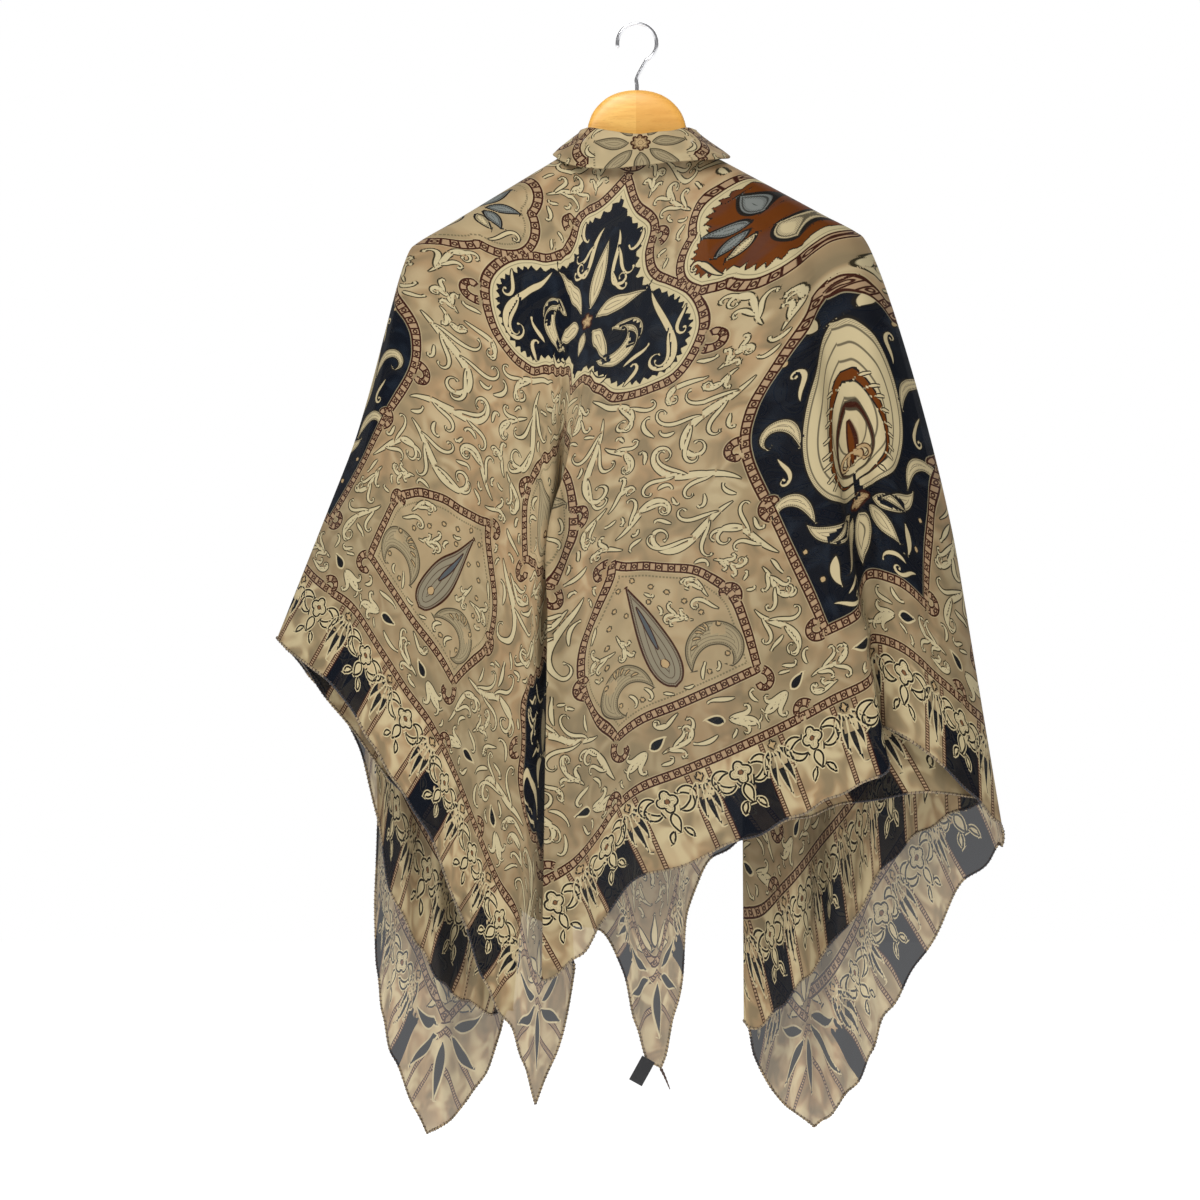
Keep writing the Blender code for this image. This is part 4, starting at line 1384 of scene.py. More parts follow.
def blocks(beside):
    """From the border's place along the hem: how far the middle of a wide block is, and 1 in every second
    wide block, clear of the square's corners."""
    from_middle = (beside + PERIOD / 2 * MM).wave(PERIOD * MM)
    number = (beside / (PERIOD * MM)).math("FLOOR")
    even = number.math("PINGPONG", 1.0).math("LESS_THAN", 0.5)
    return from_middle, even * from_middle.below(WIDE * MM) * abs(beside).below(HALF - 0.1)


@functools.lru_cache(maxsize=None)
def printed_silk():
    """Sheer silk, printed through: mottled sand ground, border blocks, dark panels with pale flames
    along their bands, scrolls, petals and beaded bands."""
    colours = bpy.context.scene.stole_colours
    look = Look("printed silk", Roughness=0.6, Alpha=colours.opacity)
    look.shade(Sheen_Weight=0.02, Sheen_Roughness=0.4, Specular_IOR_Level=0.04)
    place = look.node("ShaderNodeUVMap")
    place.socket.node.uv_map = "Cut"
    cloud = look.noise(place, 12, 1)
    patch = look.noise(place, 40, 1, 0.5, 0.8)
    ragged = look.noise(place, 170, 0) * (26 * MM)
    look.bump(look.noise(place, 260, 0), 0.3, 0.4 * MM)
    paint = look.blend(cloud.ramp(0.40, 0.62), colours.ground, colours.ground_warm)
    paint.coat(patch.ramp(0.50, 0.68) * 0.45, colours.ground_pale)
    paint.coat(patch.ramp(0.50, 0.32) * 0.75, colours.ground_grey)

    # The border: blocks between pairs of thin bars, every second wide one dark. The ground is painted
    # darker towards it, a painted shade of the drape's lower and outer parts.
    (beside, inward, _), _, _ = look.attribute("border")
    paint.coat(inward.ramp(0.32, 0.12) * inward.above(BORDER * MM) * 0.42, colours.ground_grey)
    in_border = inward.below(BORDER * MM)
    from_middle, dark_block = blocks(beside)
    dark_block = dark_block * inward.below((ragged * -1) + 58 * MM, 1.5 * MM)
    paint.coat(in_border * patch.ramp(0.46, 0.62) * 0.5, colours.border_pale)
    paint.coat(dark_block * in_border, colours.navy)
    bar = abs(from_middle - WIDE * MM)
    paint.coat(bar.below(2.6 * MM) * in_border, colours.brown)
    paint.coat(bar.below(1.5 * MM) * in_border, colours.bead_pale)
    pip = abs(inward.wave(5 * MM) - 1.25 * MM).below(0.5 * MM)
    paint.coat(bar.below(1.5 * MM) * pip * in_border, colours.brown)

    # Panels: fill inside their bands, pale flames along some, a dotted line along the pale ones.
    (along, aside, body), _, _ = look.attribute("field")
    _, panel_paint, style = look.attribute("panel")
    inside = aside.above(0.0)
    pale_panel = style.math("COMPARE", STYLES["plain"], 0.05)
    flamed = style.math("GREATER_THAN", 0.9)
    deep = flamed + style.math("COMPARE", STYLES["dark"], 0.05)
    paint.coat(inside * pale_panel * 0.5, panel_paint)
    panel_paint.coat(patch.ramp(0.52, 0.70) * 0.25, colours.navy_light)
    paint.coat(inside * deep, panel_paint)
    framed = flamed * inside
    over = aside - ((along.wave(9 * MM) * 0.9) + (ragged * 0.12) + 7.5 * MM)
    paint.coat(framed * over.below(1.1 * MM), colours.ink)
    paint.coat(framed * over.below(0.0), colours.flame)
    paint.coat(framed * abs(aside - 6.8 * MM).below(0.35 * MM) * 0.7, colours.line)
    dots = abs(along.wave(6 * MM) - 1.5 * MM).below(0.9 * MM) * abs(aside - 9 * MM).below(0.8 * MM)
    paint.coat(dots * pale_panel * 0.75, colours.line)

    # Motifs: filled, with fine lines and ticks inside and an outline.
    (around, depth, echo), _, _ = look.attribute("motif")
    _, motif_paint, _ = look.attribute("motif_fill")
    _, edge_paint, edge_width = look.attribute("motif_line")
    paint.coat(depth.above(0.0), motif_paint)
    rings = (depth / (echo + 0.01 * MM)).math("FRACT")
    has_echo = echo.math("GREATER_THAN", 1 * MM)
    echo_line = abs(rings - 0.5).below(0.08, 0.06)
    paint.coat(echo_line * has_echo * depth.above(1.2 * MM) * 0.75, edge_paint)
    tick = abs(around.wave(3.2 * MM) - 0.8 * MM).below(0.35 * MM)
    ticks = tick * depth.above(1.0 * MM) * depth.below(2.6 * MM) * has_echo
    paint.coat(ticks * 0.6, edge_paint)
    bold = edge_width.math("GREATER_THAN", BOLD)
    halo = (abs(depth) - (edge_width + 1.0) * (1 * MM)).below(0.0)
    paint.coat(halo * bold, colours.border_pale)
    paint.coat((abs(depth) - edge_width * (1 * MM)).below(0.0), edge_paint)

    # Strokes: a pale core between two fine lines that close at the ends.
    (offset, end, width), _, _ = look.attribute("stroke")
    gap = abs(offset) - width
    on_line = end.above(0.3 * MM)
    paint.coat(gap.below(0.65 * MM) * on_line, look.attribute("stroke_line")[1])
    paint.coat(gap.below(-0.4 * MM) * on_line, look.attribute("stroke_fill")[1])

    # Beaded bands over all.
    (along, aside, end), _, _ = look.attribute("band")
    on_band = end.above(0.0)
    reach = abs(aside) - body
    paint.coat(reach.below(1.4 * MM) * on_band * 0.5, colours.flame)
    paint.coat(reach.below(0.7 * MM) * on_band, colours.brown)
    paint.coat(reach.below(-0.9 * MM) * on_band, colours.bead_pale)
    step = along.wave(11 * MM)
    paint.coat(abs(step - 2.8 * MM).below(0.7 * MM) * reach.below(-0.4 * MM) * on_band, colours.brown)
    bead = (step * step + aside * aside).math("SQRT")
    paint.coat(bead.below(2.1 * MM) * on_band, colours.brown)
    paint.coat(bead.below(0.9 * MM) * on_band, colours.bead_pale)
    look.shade(Base_Color=paint)
    return look.material


# ---- Meshes ----
def cloth_mesh(name, grid, normals, flat):
    """A sheet of cloth through a grid of points, with the print's attributes on it."""
    wide, tall = grid.shape[:2]
    index = np.arange(wide * tall).reshape(wide, tall)
    quad = np.stack([index[:-1, :-1], index[:-1, 1:], index[1:, 1:], index[1:, :-1]], axis=-1)
    faces = quad.reshape(-1, 4)
    mesh = mesh_of(name, grid.reshape(-1, 3), faces)
    places = flat.reshape(-1, 2)[faces]
    cut = mesh.uv_layers.new(name="Cut")
    cut.data.foreach_set("uv", places.astype(np.float32).ravel())
    for key, value in print_attributes(places).items():
        kind, field = ("FLOAT_COLOR", "color") if value.shape[-1] == 4 else ("FLOAT_VECTOR", "vector")
        made = mesh.attributes.new(key, kind, "CORNER")
        made.data.foreach_set(field, value.astype(np.float32).ravel())
    mesh.normals_split_custom_set_from_vertices(normals.reshape(-1, 3))
    return link(name, mesh)


def mesh_of(name, points, faces):
    """A mesh of quads."""
    mesh = bpy.data.meshes.new(name)
    mesh.vertices.add(len(points))
    mesh.vertices.foreach_set("co", np.asarray(points, np.float32).ravel())
    mesh.loops.add(faces.size)
    mesh.loops.foreach_set("vertex_index", np.asarray(faces, np.int32).ravel())
    mesh.polygons.add(len(faces))
    mesh.polygons.foreach_set("loop_start", np.arange(len(faces), dtype=np.int32) * faces.shape[1])
    mesh.polygons.foreach_set("loop_total", np.full(len(faces), faces.shape[1], np.int32))
    mesh.update(calc_edges=True)
    mesh.validate()
    mesh.shade_smooth()
    return mesh


def link(name, mesh):
    made = bpy.data.objects.new(name, mesh)
    bpy.context.scene.collection.objects.link(made)
    return made


# Each piece of the draped loop: its name, the fall lines it runs between and the node it stands for.
Stretch = namedtuple("Stretch", "name first last node")
BACKS = table(
    Stretch,
    ("fall_back_left", "left_side", "back_point", "back_outer"),
    ("fall_back_right", "back_point", "right_side", "back_outer"),
    ("fall_back_inner", "right_side_in", "left_side_in", "back_inner"),
)
FRONTS = table(
    Stretch,
    ("fall_left_outer", "left_edge", "left_side", "left_front_outer"),
    ("fall_right_outer", "right_side", "right_edge", "right_front_outer"),
    ("fall_right_inner", "right_edge", "right_side_in", "right_front_inner"),
    ("fall_left_inner", "left_side_in", "left_edge", "left_front_inner"),
)


def stretch_columns(stretch):
    cloth = drape()
    first, last = cloth.columns[stretch.first], cloth.columns[stretch.last]
    if last <= first:
        last += len(cloth.points)
    return np.arange(first, last + 1) % len(cloth.points)


def declare(piece, node=None, material=None):
    """Gives a piece its material, hangs it under the root body and hides the part it stands for."""
    if material is not None:
        piece.data.materials.append(material)
    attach(piece, "root")
    if node is not None:
        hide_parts(node)


def sew(stretch):
    cloth = drape()
    at = stretch_columns(stretch)
    piece = cloth_mesh(stretch.name, cloth.points[at], cloth.normals[at], cloth.flat[at])
    declare(piece, stretch.node, printed_silk())
    hem = whip(stretch)


# ---- The collar ----
def collar_section(row):
    """One section of the collar: up inside the neck, over the roll, down the band, round its lower
    edge and back up under it."""
    roll = np.array((row.roll_x, row.roll_y, row.roll_z)) * MM
    edge = np.array((row.edge_x, row.edge_y, row.edge_z)) * MM
    outward = unit(np.array((edge[0] - roll[0], edge[1] - roll[1], 0)))
    up = np.array((0, 0, 1))
    points = [roll - outward * COLLAR_ROLL - up * row.leg * MM * share for share in (1, 0.5, 0)]
    for angle in (30, 60, 90, 120, 150):
        turn = math.radians(angle)
        points.append(roll - outward * COLLAR_ROLL * math.cos(turn) + up * COLLAR_ROLL * math.sin(turn))
    band_top = roll + outward * COLLAR_ROLL
    down = unit(edge - band_top)
    inward = unit(np.cross(down, np.cross(outward, up)))
    if inward @ outward > 0:
        inward = -inward
    points += [mix(band_top, edge, share) for share in (0, 0.2, 0.4, 0.6, 0.8, 1)]
    half = COLLAR_HEM_GAP / 2
    for angle in (45, 90, 135):
        turn = math.radians(angle)
        points.append(edge + inward * half * (1 - math.cos(turn)) + down * half * math.sin(turn))
    under = edge + inward * COLLAR_HEM_GAP
    points += [mix(under, band_top + inward * COLLAR_HEM_GAP, COLLAR_UNDER * share) for share in (0, 0.5, 1)]
    return evenly(rounded(np.array(points), 4), 64)


COLLAR_DENTS = ((37, 3, 0.5), (61, -5, 0.3))  # how close the dents are along and down the band, and how deep
COLLAR_DENT = 1.1 * MM
COLLAR_FOLD = 30 * MM  # how far down its sections the collar crosses the square's diagonal


def sew_collar():
    """The turned-down edge at the fold of the square, with soft dents where it bends round the neck."""
    sections = np.array([collar_section(row) for row in COLLAR])
    across = np.stack([rounded(sections[:, k], 14) for k in range(sections.shape[1])], axis=1)
    wide, tall = across.shape[:2]
    down = np.gradient(across, axis=1)
    normals = unit(np.cross(down, np.gradient(across, axis=0)))
    place = np.linspace(0, 1, wide)[:, None]
    depth = np.linspace(0, 1, tall)[None, :]
    dents = sum(np.sin(close * place + slant * depth) * deep for close, slant, deep in COLLAR_DENTS)
    band = smooth((depth - 0.18) * 7) * smooth((0.70 - depth) * 7)
    across = across + normals * (dents * band * COLLAR_DENT)[..., None]
    normals = unit(np.cross(np.gradient(across, axis=1), np.gradient(across, axis=0)))
    girth = lengths(across[:, 26])
    along = np.repeat((girth - girth[-1] / 2)[:, None], tall, axis=1)
    reach = lengths(across[wide // 2])
    rise = np.repeat((reach - COLLAR_FOLD)[None], wide, axis=0)
    flat = np.stack([along + rise, rise - along], axis=-1) / math.sqrt(2)
    piece = cloth_mesh("collar_band", across, normals, flat)
    declare(piece, "collar", printed_silk())


# ---- Hems, as node groups ----
STITCH_SLANT, STITCH_SCALE = (math.radians(24), 0, 0), (1.12, 1.2, 1.12)  # round the hem, clear of it
STITCH_SIZES = 0.92, 1.18  # the smallest and the largest


class Nodes:
    """Builds one geometry node group."""

    def __init__(self, name):
        self.tree = bpy.data.node_groups.new(name, "GeometryNodeTree")
        for way in ("INPUT", "OUTPUT"):
            self.tree.interface.new_socket("Geometry", in_out=way, socket_type="NodeSocketGeometry")
        self.start = None

    def option(self, name, kind):
        return self.tree.interface.new_socket(name, in_out="INPUT", socket_type=kind).identifier

    def begin(self):
        self.start = self.tree.nodes.new("NodeGroupInput")
        return self.start.outputs[0]

    def given(self, name):
        return self.start.outputs[name]

    def add(self, kind, out=0, settings=(), **inputs):
        node = self.tree.nodes.new(kind)
        for key, value in settings:
            setattr(node, key, value)
        give(self.tree, node, **inputs)
        return node.outputs[out]

    def join(self, *parts):
        node = self.tree.nodes.new("GeometryNodeJoinGeometry")
        for part in parts:
            self.tree.links.new(part, node.inputs[0])
        return node.outputs[0]

    def end(self, geometry):
        finish = self.tree.nodes.new("NodeGroupOutput")
        self.tree.links.new(geometry, finish.inputs[0])


@functools.lru_cache(maxsize=1)
def hem_nodes():
    """A rolled hem along the edges of a mesh, with slanting stitches wound round it at even distances."""
    build = Nodes("Rolled and whipped hem")
    options = {
        name: build.option(name, kind)
        for name, kind in (
            ("Hem radius", "NodeSocketFloat"),
            ("Stitch distance", "NodeSocketFloat"),
            ("Thread radius", "NodeSocketFloat"),
            ("Seed", "NodeSocketInt"),
            ("Hem", "NodeSocketMaterial"),
            ("Thread", "NodeSocketMaterial"),
        )
    }
    edge = build.add("GeometryNodeMeshToCurve", Mesh=build.begin())
    profile = build.add("GeometryNodeCurvePrimitiveCircle", Resolution=8, Radius=build.given("Hem radius"))
    roll = build.add("GeometryNodeCurveToMesh", Curve=edge, Profile_Curve=profile, Fill_Caps=True)
    roll = build.add("GeometryNodeSetMaterial", Geometry=roll, Material=build.given("Hem"))
    loop = build.add("GeometryNodeCurvePrimitiveCircle", Resolution=10, Radius=build.given("Hem radius"))
    strand = build.add("GeometryNodeCurvePrimitiveCircle", Resolution=5, Radius=build.given("Thread radius"))
    stitch = build.add("GeometryNodeCurveToMesh", Curve=loop, Profile_Curve=strand)
    stitch = build.add("GeometryNodeTransform", Geometry=stitch, Rotation=STITCH_SLANT, Scale=STITCH_SCALE)
    apart = build.given("Stitch distance")
    kind = [("mode", "LENGTH")]
    points = build.add("GeometryNodeCurveToPoints", settings=kind, Curve=edge, Length=apart).node
    kind = [("data_type", "FLOAT")]
    size = build.add("FunctionNodeRandomValue", 1, settings=kind, Seed=build.given("Seed"))
    for slot, value in zip(size.node.inputs[2:4], STITCH_SIZES):
        slot.default_value = value
    placed_stitches = build.add(
        "GeometryNodeInstanceOnPoints",
        Points=points.outputs["Points"],
        Instance=stitch,
        Rotation=points.outputs["Rotation"],
        Scale=size,
    )
    real = build.add("GeometryNodeRealizeInstances", Geometry=placed_stitches)
    thread = build.add("GeometryNodeSetMaterial", Geometry=real, Material=build.given("Thread"))
    smoothed = build.add("GeometryNodeSetShadeSmooth", Geometry=build.join(roll, thread))
    build.end(smoothed)
    return build.tree, options


def run_nodes(name, mesh, group, values):
    """The mesh that a node group makes of another one, as a plain object."""
    tree, options = group
    source = link(name + "_line", mesh)
    modifier = source.modifiers.new("Hem", "NODES")
    modifier.node_group = tree
    for key, value in values.items():
        modifier[options[key]] = value
    bpy.context.view_layer.update()
    seen = source.evaluated_get(bpy.context.evaluated_depsgraph_get())
    made = bpy.data.meshes.new_from_object(seen)
    bpy.data.objects.remove(source, do_unlink=True)
    made.name = name
    return link(name, made)


def whip(stretch):
    """The rolled hem of one stretch, whipped with dark thread."""
    cloth = drape()
    sizes = bpy.context.scene.stole_sizes
    at = stretch_columns(stretch)
    line, flat = cloth.points[at, -1], cloth.flat[at, -1]
    mesh = bpy.data.meshes.new(stretch.name + "_line")
    steps = [(i, i + 1) for i in range(len(line) - 1)]
    mesh.from_pydata([tuple(p) for p in line], steps, [])
    across = np.abs(flat[:, 0]) > np.abs(flat[:, 1])
    beside = mesh.attributes.new("beside", "FLOAT", "POINT")
    beside.data.foreach_set("value", np.where(across, flat[:, 1], flat[:, 0]).astype(np.float32))
    values = {
        "Hem radius": sizes.hem_radius,
        "Stitch distance": sizes.stitch_apart * 1,
        "Thread radius": sizes.thread_radius,
        "Seed": 3,
        "Hem": hem_silk(),
        "Thread": thread(),
    }
    piece = run_nodes(stretch.name + "_hem", mesh, hem_nodes(), values)
    declare(piece)
    return piece


@functools.lru_cache(maxsize=None)
def hem_silk():
    """The rolled edge of the silk, pale or dark as the border's blocks are."""
    colours = bpy.context.scene.stole_colours
    look = Look("rolled silk", Roughness=0.6, Sheen_Weight=0.2)
    beside = look.node("ShaderNodeAttribute", "Fac")
    beside.socket.node.attribute_name = "beside"
    patch = look.noise(look.place(), 90, 1)
    paint = look.blend(patch.ramp(0.4, 0.6), colours.ground_grey, colours.ground)
    paint.coat(blocks(beside)[1], colours.navy)
    look.shade(Base_Color=paint)
    return look.material


@functools.lru_cache(maxsize=None)
def thread():
    """Dark twisted sewing thread."""
    dark = bpy.context.scene.stole_colours.thread
    look = Look("dark thread", Roughness=0.65, Sheen_Weight=0.3)
    patch = look.noise(look.place(), 1500, 1)
    light = [min(1, part * 1.9) for part in dark]
    look.shade(Base_Color=look.blend(patch.ramp(0.35, 0.65), dark, light))
    look.bump(patch, 0.5, 0.1 * MM)
    return look.material


# ---- Tab and loose end ----
def tube(name, path, radii, sides=10):
    """A round tube along a path, its radius given at each point, closed by a flat fan at either end."""
    along = unit(np.gradient(path, axis=0))
    beside = unit(np.cross(along, (0.0, 1.0, 0.0)))
    above = np.cross(beside, along)
    turn = np.linspace(0, 2 * math.pi, sides, endpoint=False)[None, :, None]
    round_it = beside[:, None] * np.cos(turn) + above[:, None] * np.sin(turn)
    return loft(name, path[:, None] + round_it * radii[:, None, None])


def loft(name, rings):
    """A closed skin through rings of points, with a fan of faces over either end."""
    count, sides = rings.shape[:2]
    points = np.vstack([rings.reshape(-1, 3), rings[0].mean(axis=0), rings[-1].mean(axis=0)])
    index = np.arange(count * sides).reshape(count, sides)
    ahead = np.roll(index, -1, axis=1)
    faces = np.stack([index[:-1], ahead[:-1], ahead[1:], index[1:]], axis=-1).reshape(-1, 4).tolist()
    first, last = count * sides, count * sides + 1
    faces += [(ahead[0, i], index[0, i], first) for i in range(sides)]
    faces += [(index[-1, i], ahead[-1, i], last) for i in range(sides)]
    mesh = bpy.data.meshes.new(name)
    mesh.from_pydata([tuple(p) for p in points], [], faces)
    builder = bmesh.new()
    builder.from_mesh(mesh)
    bmesh.ops.recalc_face_normals(builder, faces=builder.faces)
    builder.to_mesh(mesh)
    builder.free()
    mesh.shade_smooth()
    return link(name, mesh)


TAB_TOP = np.array((11, -23, -991)) * MM
TAB_WIDTH, TAB_LENGTH, TAB_THICK = 14 * MM, 26 * MM, 0.8 * MM
TAB_TILT = math.radians(29)
RIBBON_THREAD = 0.45 * MM  # from one thread of the tab's weave to the next


def sew_tab():
    """The plain woven tab that hangs from the inner layer's corner: a ribbon folded in half."""
    down = np.array((-math.sin(TAB_TILT), 0, -math.cos(TAB_TILT)))
    beside = np.array((math.cos(TAB_TILT), 0, -math.sin(TAB_TILT)))
    out = np.array((0, -1.0, 0))
    rings = []
    for share in np.linspace(0, 1, 30):
        fade = min(1, 6 * share + 0.3, 10 * (1 - share) + 0.35)
        middle = TAB_TOP + down * TAB_LENGTH * share + out * 1.2 * MM * math.sin(2.4 * share)
        ring_points = []
        for turn in np.linspace(0, 2 * math.pi, 44, endpoint=False):
            wide = math.copysign(abs(math.cos(turn)) ** 0.25, math.cos(turn))
            thick = math.copysign(abs(math.sin(turn)) ** 0.5, math.sin(turn))
            curl_out = 0.5 * MM * wide**2
            ring_points.append(
                middle + beside * TAB_WIDTH / 2 * wide + out * (TAB_THICK / 2 * thick * fade - curl_out)
            )
        rings.append(ring_points)
    piece = loft("tab", np.array(rings))
    declare(piece, "label", woven_black())

    ends = np.array([(23, -14, -1001), (26, -15, -1007), (28.5, -14.5, -1013), (31.5, -14, -1020.5)]) * MM
    path = evenly(rounded(ends), 24)
    radii = np.linspace(1.5, 0.5, 24) * MM * (1 + 0.18 * np.sin(np.arange(24) * 1.4))
    declare(tube("twisted_tip", path, radii), material=thread())


@functools.lru_cache(maxsize=None)
def woven_black():
    """Black woven ribbon."""
    look = Look("black ribbon", Roughness=0.75, Sheen_Weight=0.4)
    across, _, down = look.split(look.place())
    warp, weft = ((place * 2 * math.pi / RIBBON_THREAD).math("SINE") for place in (across, down))
    weave = warp * weft
    look.shade(Base_Color=look.blend(weave.ramp(-0.5, 1.0), srgb(14, 14, 16), srgb(34, 34, 38)))
    look.bump(weave, 0.6, 0.08 * MM)
    return look.material


# ---- Hanger and hook ----
# The hanger's arms, for either side of the middle: half the depth in Y, the top and the height of a
# section, in mm. Beyond the neck the top follows the cloth, and top is what it lies lower than that.
Arm = namedtuple("Arm", "reach half_depth top height")
HUMP = table(
    Arm,
    (0, 7.5, -62, 60),
    (12, 7.5, -63, 59),
    (24, 7.5, -66.8, 57),
    (34, 7.5, -73.5, 52),
    (42, 7.5, -83, 45),
    (46.5, 7.5, -94, 38),
    (48, 7.5, -104, 30),
    (49.5, 7.6, -115, 24),
    (54, 7.7, -125, 22),
)
ARM = table(
    Arm,
    (64, 8.0, 0, 24),
    (100, 9.5, 0, 27),
    (140, 12, 0, 27),
    (175, 14, 0, 24),
    (196, 13, 0.5, 20),
    (204, 8, 3.5, 12),
    (207, 3, 7, 5),
)
ARM_UNDER_CREST = 7.4 * MM
ARM_SQUARENESS = 0.8
HOOK_WIRE, HOOK_INSIDE = 3.6 * MM, 17 * MM
HOOK_SWEEP, HOOK_BEND, HOOK_IN_WOOD = 285, 28, 18 * MM


def arm_numbers(side):
    """For one side of the hanger, from the middle outwards: X, half depth, top and height, in metres."""
    made = [(side * row.reach, row.half_depth, row.top, row.height) for row in HUMP]
    for row in ARM:
        cloth = crest(side * row.reach * MM, 0)[2] / MM
        made.append((side * row.reach, row.half_depth, cloth - ARM_UNDER_CREST / MM - row.top, row.height))
    return np.array(made) * MM


def carve_hanger():
    """The wooden body: rounded sections from tip to tip over the hump in the middle."""
    numbers = rounded(np.vstack([arm_numbers(-1)[::-1], arm_numbers(1)[1:]]), 6)
    turn = np.linspace(0, 2 * math.pi, 40, endpoint=False)
    across = np.sign(np.cos(turn)) * np.abs(np.cos(turn)) ** ARM_SQUARENESS
    up = np.sign(np.sin(turn)) * np.abs(np.sin(turn)) ** ARM_SQUARENESS
    rings = []
    for x, half_depth, top, height in numbers:
        y = arm_y(x) + half_depth * across
        z = top - height / 2 + height / 2 * up
        rings.append(np.stack([np.full_like(y, x), y, z], axis=1))
    declare(loft("hanger_wood", np.array(rings)), "hanger", beech())


def bend_hook():
    """The wire hook: a straight shank out of the wood, a bend and a bow that opens to the left."""
    radius = HOOK_INSIDE + HOOK_WIRE / 2
    centre = np.array((0, 0, -HOOK_INSIDE))
    wood_top = HUMP[0].top * MM
    shank = [np.array((0, 0, mix(wood_top - HOOK_IN_WOOD, wood_top + 12 * MM, k / 4))) for k in range(5)]
    bow = []
    for k in range(41):
        turn = math.radians(-90 + HOOK_BEND + (HOOK_SWEEP - HOOK_BEND) * k / 40)
        bow.append(centre + np.array((math.cos(turn), 0, math.sin(turn))) * radius)
    path = evenly(rounded(np.array(shank + bow)), 130)
    radii = np.full(130, HOOK_WIRE / 2)
    radii[-3:] *= (0.95, 0.8, 0.45)
    declare(tube("hook_wire", path, radii, 20), "hook", bright_steel())


@functools.lru_cache(maxsize=None)
def beech():
    """Lacquered beech, darker right of the middle, with fine flecks along the grain."""
    colours = bpy.context.scene.stole_colours
    look = Look("lacquered beech", Roughness=0.45, Coat_Weight=0.15, Coat_Roughness=0.3)
    grain = look.noise(look.place((9, 60, 60)), 3.2, 3, 0.6, 0.4)
    fleck = look.noise(look.place((90, 900, 900)), 1.6, 2)
    right_half = look.split(look.place())[0].above(-1 * MM, 0.6 * MM)
    paint = look.blend(grain.ramp(0.35, 0.75), colours.wood, colours.wood_dark)
    # The wood right of the middle is painted darker.
    paint.coat(right_half * 0.55, colours.wood_dark)
    paint.coat(fleck.ramp(0.60, 0.70) * 0.3, srgb(176, 118, 48))
    look.shade(Base_Color=paint)
    look.bump(fleck, 0.15, 0.2 * MM)
    return look.material


@functools.lru_cache(maxsize=None)
def bright_steel():
    """Plated steel wire, with faint marks drawn along it."""
    look = Look("plated wire", Metallic=1.0)
    marks = look.noise(look.place(), 420, 2)
    look.shade(Base_Color=look.blend(marks, (0.68, 0.68, 0.7), (0.82, 0.82, 0.84)))
    look.shade(Roughness=marks * 0.16 + 0.12)
    return look.material


# ---- Sizes and colours that a user may change ----
def length_property(name, description, default):
    return bpy.props.FloatProperty(
        name=name, description=description, default=default, min=0.1 * MM, precision=5, unit="LENGTH"
    )


class StoleSizes(bpy.types.PropertyGroup):
    hem_radius: length_property("Hem", "Half the thickness of the rolled hem", 1.0 * MM)
    stitch_apart: length_property("Stitches", "Distance from one stitch of the hem to the next", 4 * MM)
    thread_radius: length_property("Thread", "Half the thickness of the hem's thread", 0.33 * MM)


def colour_property(name, description, default):
    return bpy.props.FloatVectorProperty(
        name=name, description=description, default=default, size=3, min=0, max=1, subtype="COLOR"
    )


def share_property(name, description, default):
    return bpy.props.FloatProperty(
        name=name, description=description, default=default, min=0, max=1, subtype="FACTOR"
    )


class StoleColours(bpy.types.PropertyGroup):
    ground: colour_property("Ground", "Sand ground of the print", srgb(154, 134, 101))
    ground_warm: colour_property("Warm ground", "Warmer clouds of the ground", srgb(162, 133, 98))
    ground_pale: colour_property("Pale ground", "Light strokes in the ground", srgb(200, 184, 146))
    # This grey also paints the shade that darkens the ground towards the border.
    ground_grey: colour_property("Grey ground", "Greyer strokes in the ground", srgb(120, 107, 82))
    border_pale: colour_property("Border", "Pale blocks of the border", srgb(198, 182, 142))
    navy: colour_property("Navy", "Dark blocks and panels", srgb(15, 19, 27))
    navy_light: colour_property("Worn navy", "Lighter places of the dark panels", srgb(46, 56, 68))
    flame: colour_property("Flame", "Pale flames along the bands", srgb(186, 172, 134))
    brown: colour_property("Brown", "Lines of the beaded bands", srgb(56, 26, 18))
    bead_pale: colour_property("Bead", "Blocks of the beaded bands", srgb(160, 134, 104))
    line: colour_property("Line", "Fine lines on the ground", srgb(92, 86, 64))
    ink: colour_property("Ink", "Dark outlines", srgb(28, 26, 24))
    thread: colour_property("Thread", "Thread of the hems", srgb(50, 30, 20))
    wood: colour_property("Wood", "Beech of the hanger", srgb(236, 184, 92))
    wood_dark: colour_property("Dark wood", "Grain and the darker half of the hanger", srgb(214, 152, 62))
    opacity: share_property("Opacity", "How much one layer of the sheer cloth hides", 0.91)


class STOLE_OT_backs(bpy.types.Operator):
    """Makes the outer and the inner fall of the back, and the collar"""

    bl_idname = "stole.backs"
    bl_label = "Back falls"

    def execute(self, context):
        for stretch in BACKS:
            sew(stretch)
        sew_collar()
        return {"FINISHED"}


class STOLE_OT_fronts(bpy.types.Operator):
    """Makes the two falls of either front"""

    bl_idname = "stole.fronts"
    bl_label = "Fronts"

    def execute(self, context):
        for stretch in FRONTS:
            sew(stretch)
        return {"FINISHED"}


class STOLE_OT_trims(bpy.types.Operator):
    """Makes the black tab and the twisted tip at the inner corner"""

    bl_idname = "stole.trims"
    bl_label = "Tab and tip"

    def execute(self, context):
        sew_tab()
        return {"FINISHED"}


class STOLE_OT_hanger(bpy.types.Operator):
    """Makes the wooden hanger and its hook"""

    bl_idname = "stole.hanger"
    bl_label = "Hanger"

    def execute(self, context):
        carve_hanger()
        bend_hook()
        return {"FINISHED"}


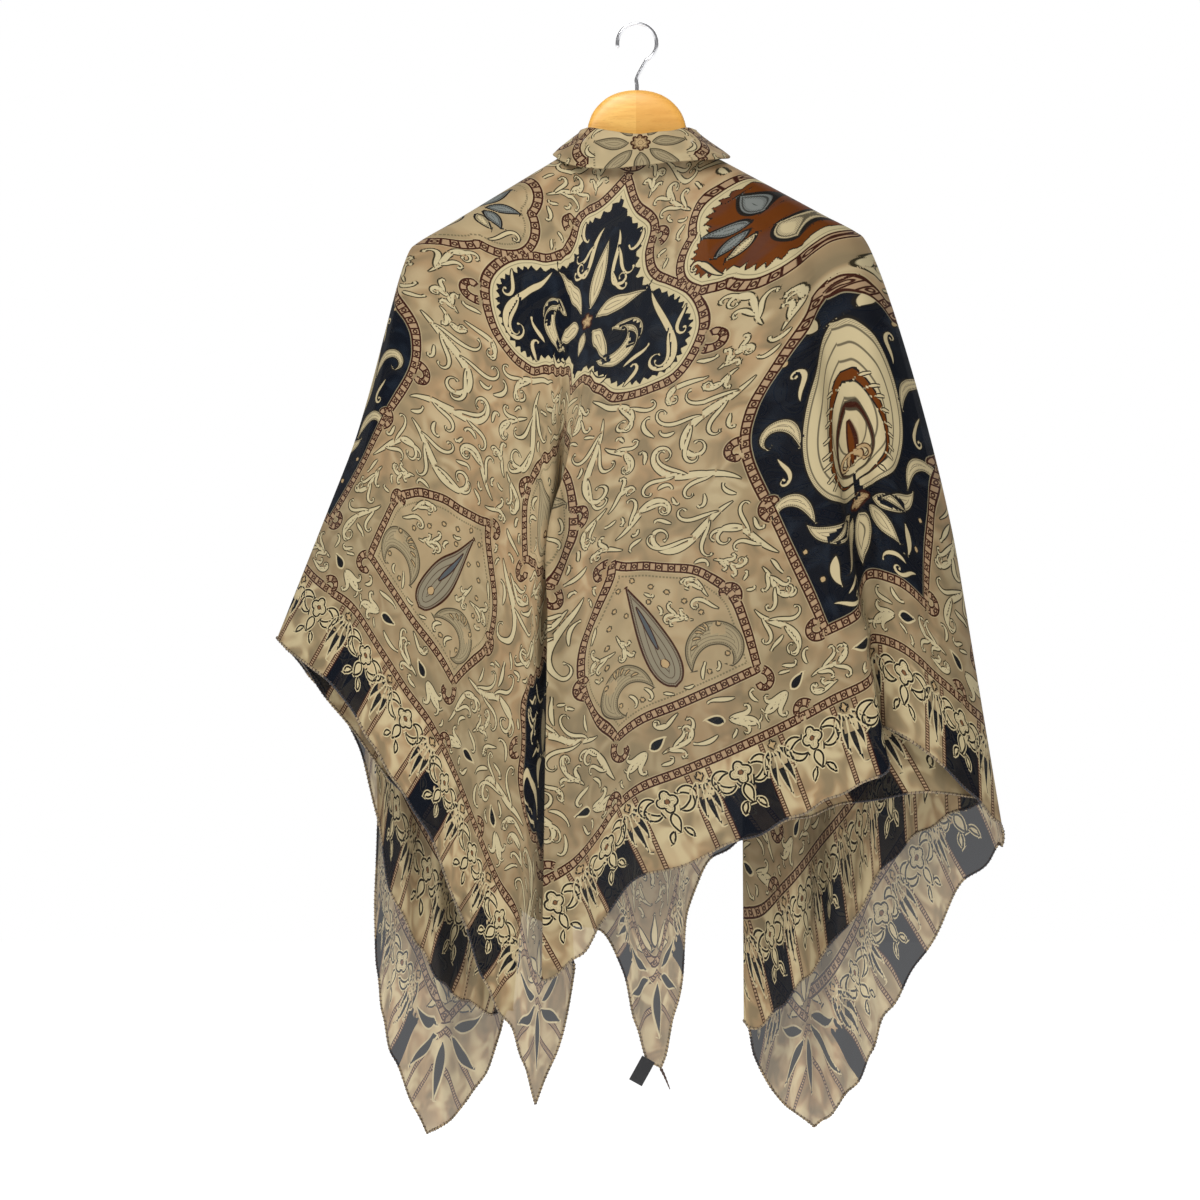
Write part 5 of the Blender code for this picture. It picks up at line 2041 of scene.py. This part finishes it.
VIEW_ACROSS = 1.152  # width of what the camera takes in, at the cloth
VIEW_MIDDLE = (-35.5 * MM, -551.6 * MM)  # X and Z of its middle
CAMERA_AWAY = 8.0
FLOOR_HALF, FLOOR_Z = 9.0, -1.25
WALL_LIGHT = 0.22


class STOLE_OT_stage(bpy.types.Operator):
    """Sets up the floor, the walls, the lights and the camera"""

    bl_idname = "stole.stage"
    bl_label = "Stage"

    def execute(self, context):
        build_stage(context.scene)
        return {"FINISHED"}


def build_stage(scene):
    look = Look("pale floor", Roughness=0.9, Base_Color=(0.86, 0.86, 0.86))
    look.shade(Emission_Color=(1, 1, 1), Emission_Strength=0.86)
    corners = [(x * FLOOR_HALF, y * FLOOR_HALF, FLOOR_Z) for x, y in ((-1, -1), (1, -1), (1, 1), (-1, 1))]
    floor = link("floor", mesh_of("floor", corners, np.array([(0, 1, 2, 3)])))
    floor.data.materials.append(look.material)

    # The studio's walls are seen white, and light the cloth more weakly than that.
    world = bpy.data.worlds.new("studio")
    world.use_nodes = True
    walls = world.node_tree.nodes["Background"]
    walls.inputs[0].default_value = (1, 1, 1, 1)
    ray = world.node_tree.nodes.new("ShaderNodeLightPath")
    seen = Wire(world.node_tree, ray.outputs["Is Camera Ray"])
    set_or_link(world.node_tree, walls.inputs[1], seen * (1 - WALL_LIGHT) + WALL_LIGHT)
    scene.world = world
    scene.view_settings.view_transform = "Standard"
    for name, place, size, power in (
        ("key", (-0.5, -1.7, 1.15), 1.0, 46),
        ("back", (0.2, 2.4, 1.2), 2.5, 42),
    ):
        light = bpy.data.lights.new(name, "AREA")
        light.size = size
        light.energy = power
        lamp = bpy.data.objects.new(name, light)
        lamp.location = place
        aim = Vector((0, 0, -0.5)) - Vector(place)
        lamp.rotation_euler = aim.to_track_quat("-Z", "Y").to_euler()
        scene.collection.objects.link(lamp)

    camera = bpy.data.cameras.new("camera")
    camera.sensor_width = 36
    camera.lens = 36 * CAMERA_AWAY / VIEW_ACROSS
    camera.clip_end = 60
    eye = bpy.data.objects.new("camera", camera)
    eye.location = (VIEW_MIDDLE[0], -CAMERA_AWAY, VIEW_MIDDLE[1])
    eye.rotation_euler = (math.radians(90), 0, 0)
    scene.collection.objects.link(eye)
    scene.camera = eye


OPERATORS = (STOLE_OT_stage, STOLE_OT_hanger, STOLE_OT_backs, STOLE_OT_fronts, STOLE_OT_trims)


class STOLE_PT_panel(bpy.types.Panel):
    """Lists the steps that make the stole"""

    bl_label = "Stole"
    bl_idname = "STOLE_PT_panel"
    bl_space_type = "VIEW_3D"
    bl_region_type = "UI"
    bl_category = "Stole"

    def draw(self, context):
        for settings in (context.scene.stole_sizes, context.scene.stole_colours):
            for name in settings.bl_rna.properties.keys():
                if name not in ("rna_type", "name"):
                    self.layout.prop(settings, name)
        for operator in OPERATORS:
            self.layout.operator(operator.bl_idname)


CLASSES = (StoleSizes, StoleColours, *OPERATORS, STOLE_PT_panel)


def register():
    for made in CLASSES:
        bpy.utils.register_class(made)
    bpy.types.Scene.stole_sizes = bpy.props.PointerProperty(type=StoleSizes)
    bpy.types.Scene.stole_colours = bpy.props.PointerProperty(type=StoleColours)


def unregister():
    del bpy.types.Scene.stole_colours
    del bpy.types.Scene.stole_sizes
    for made in reversed(CLASSES):
        bpy.utils.unregister_class(made)


def main():
    register()
    bpy.ops.stole.stage()
    bpy.ops.stole.hanger()
    bpy.ops.stole.backs()
    bpy.ops.stole.fronts()
    bpy.ops.stole.trims()


if __name__ == "__main__":
    main()
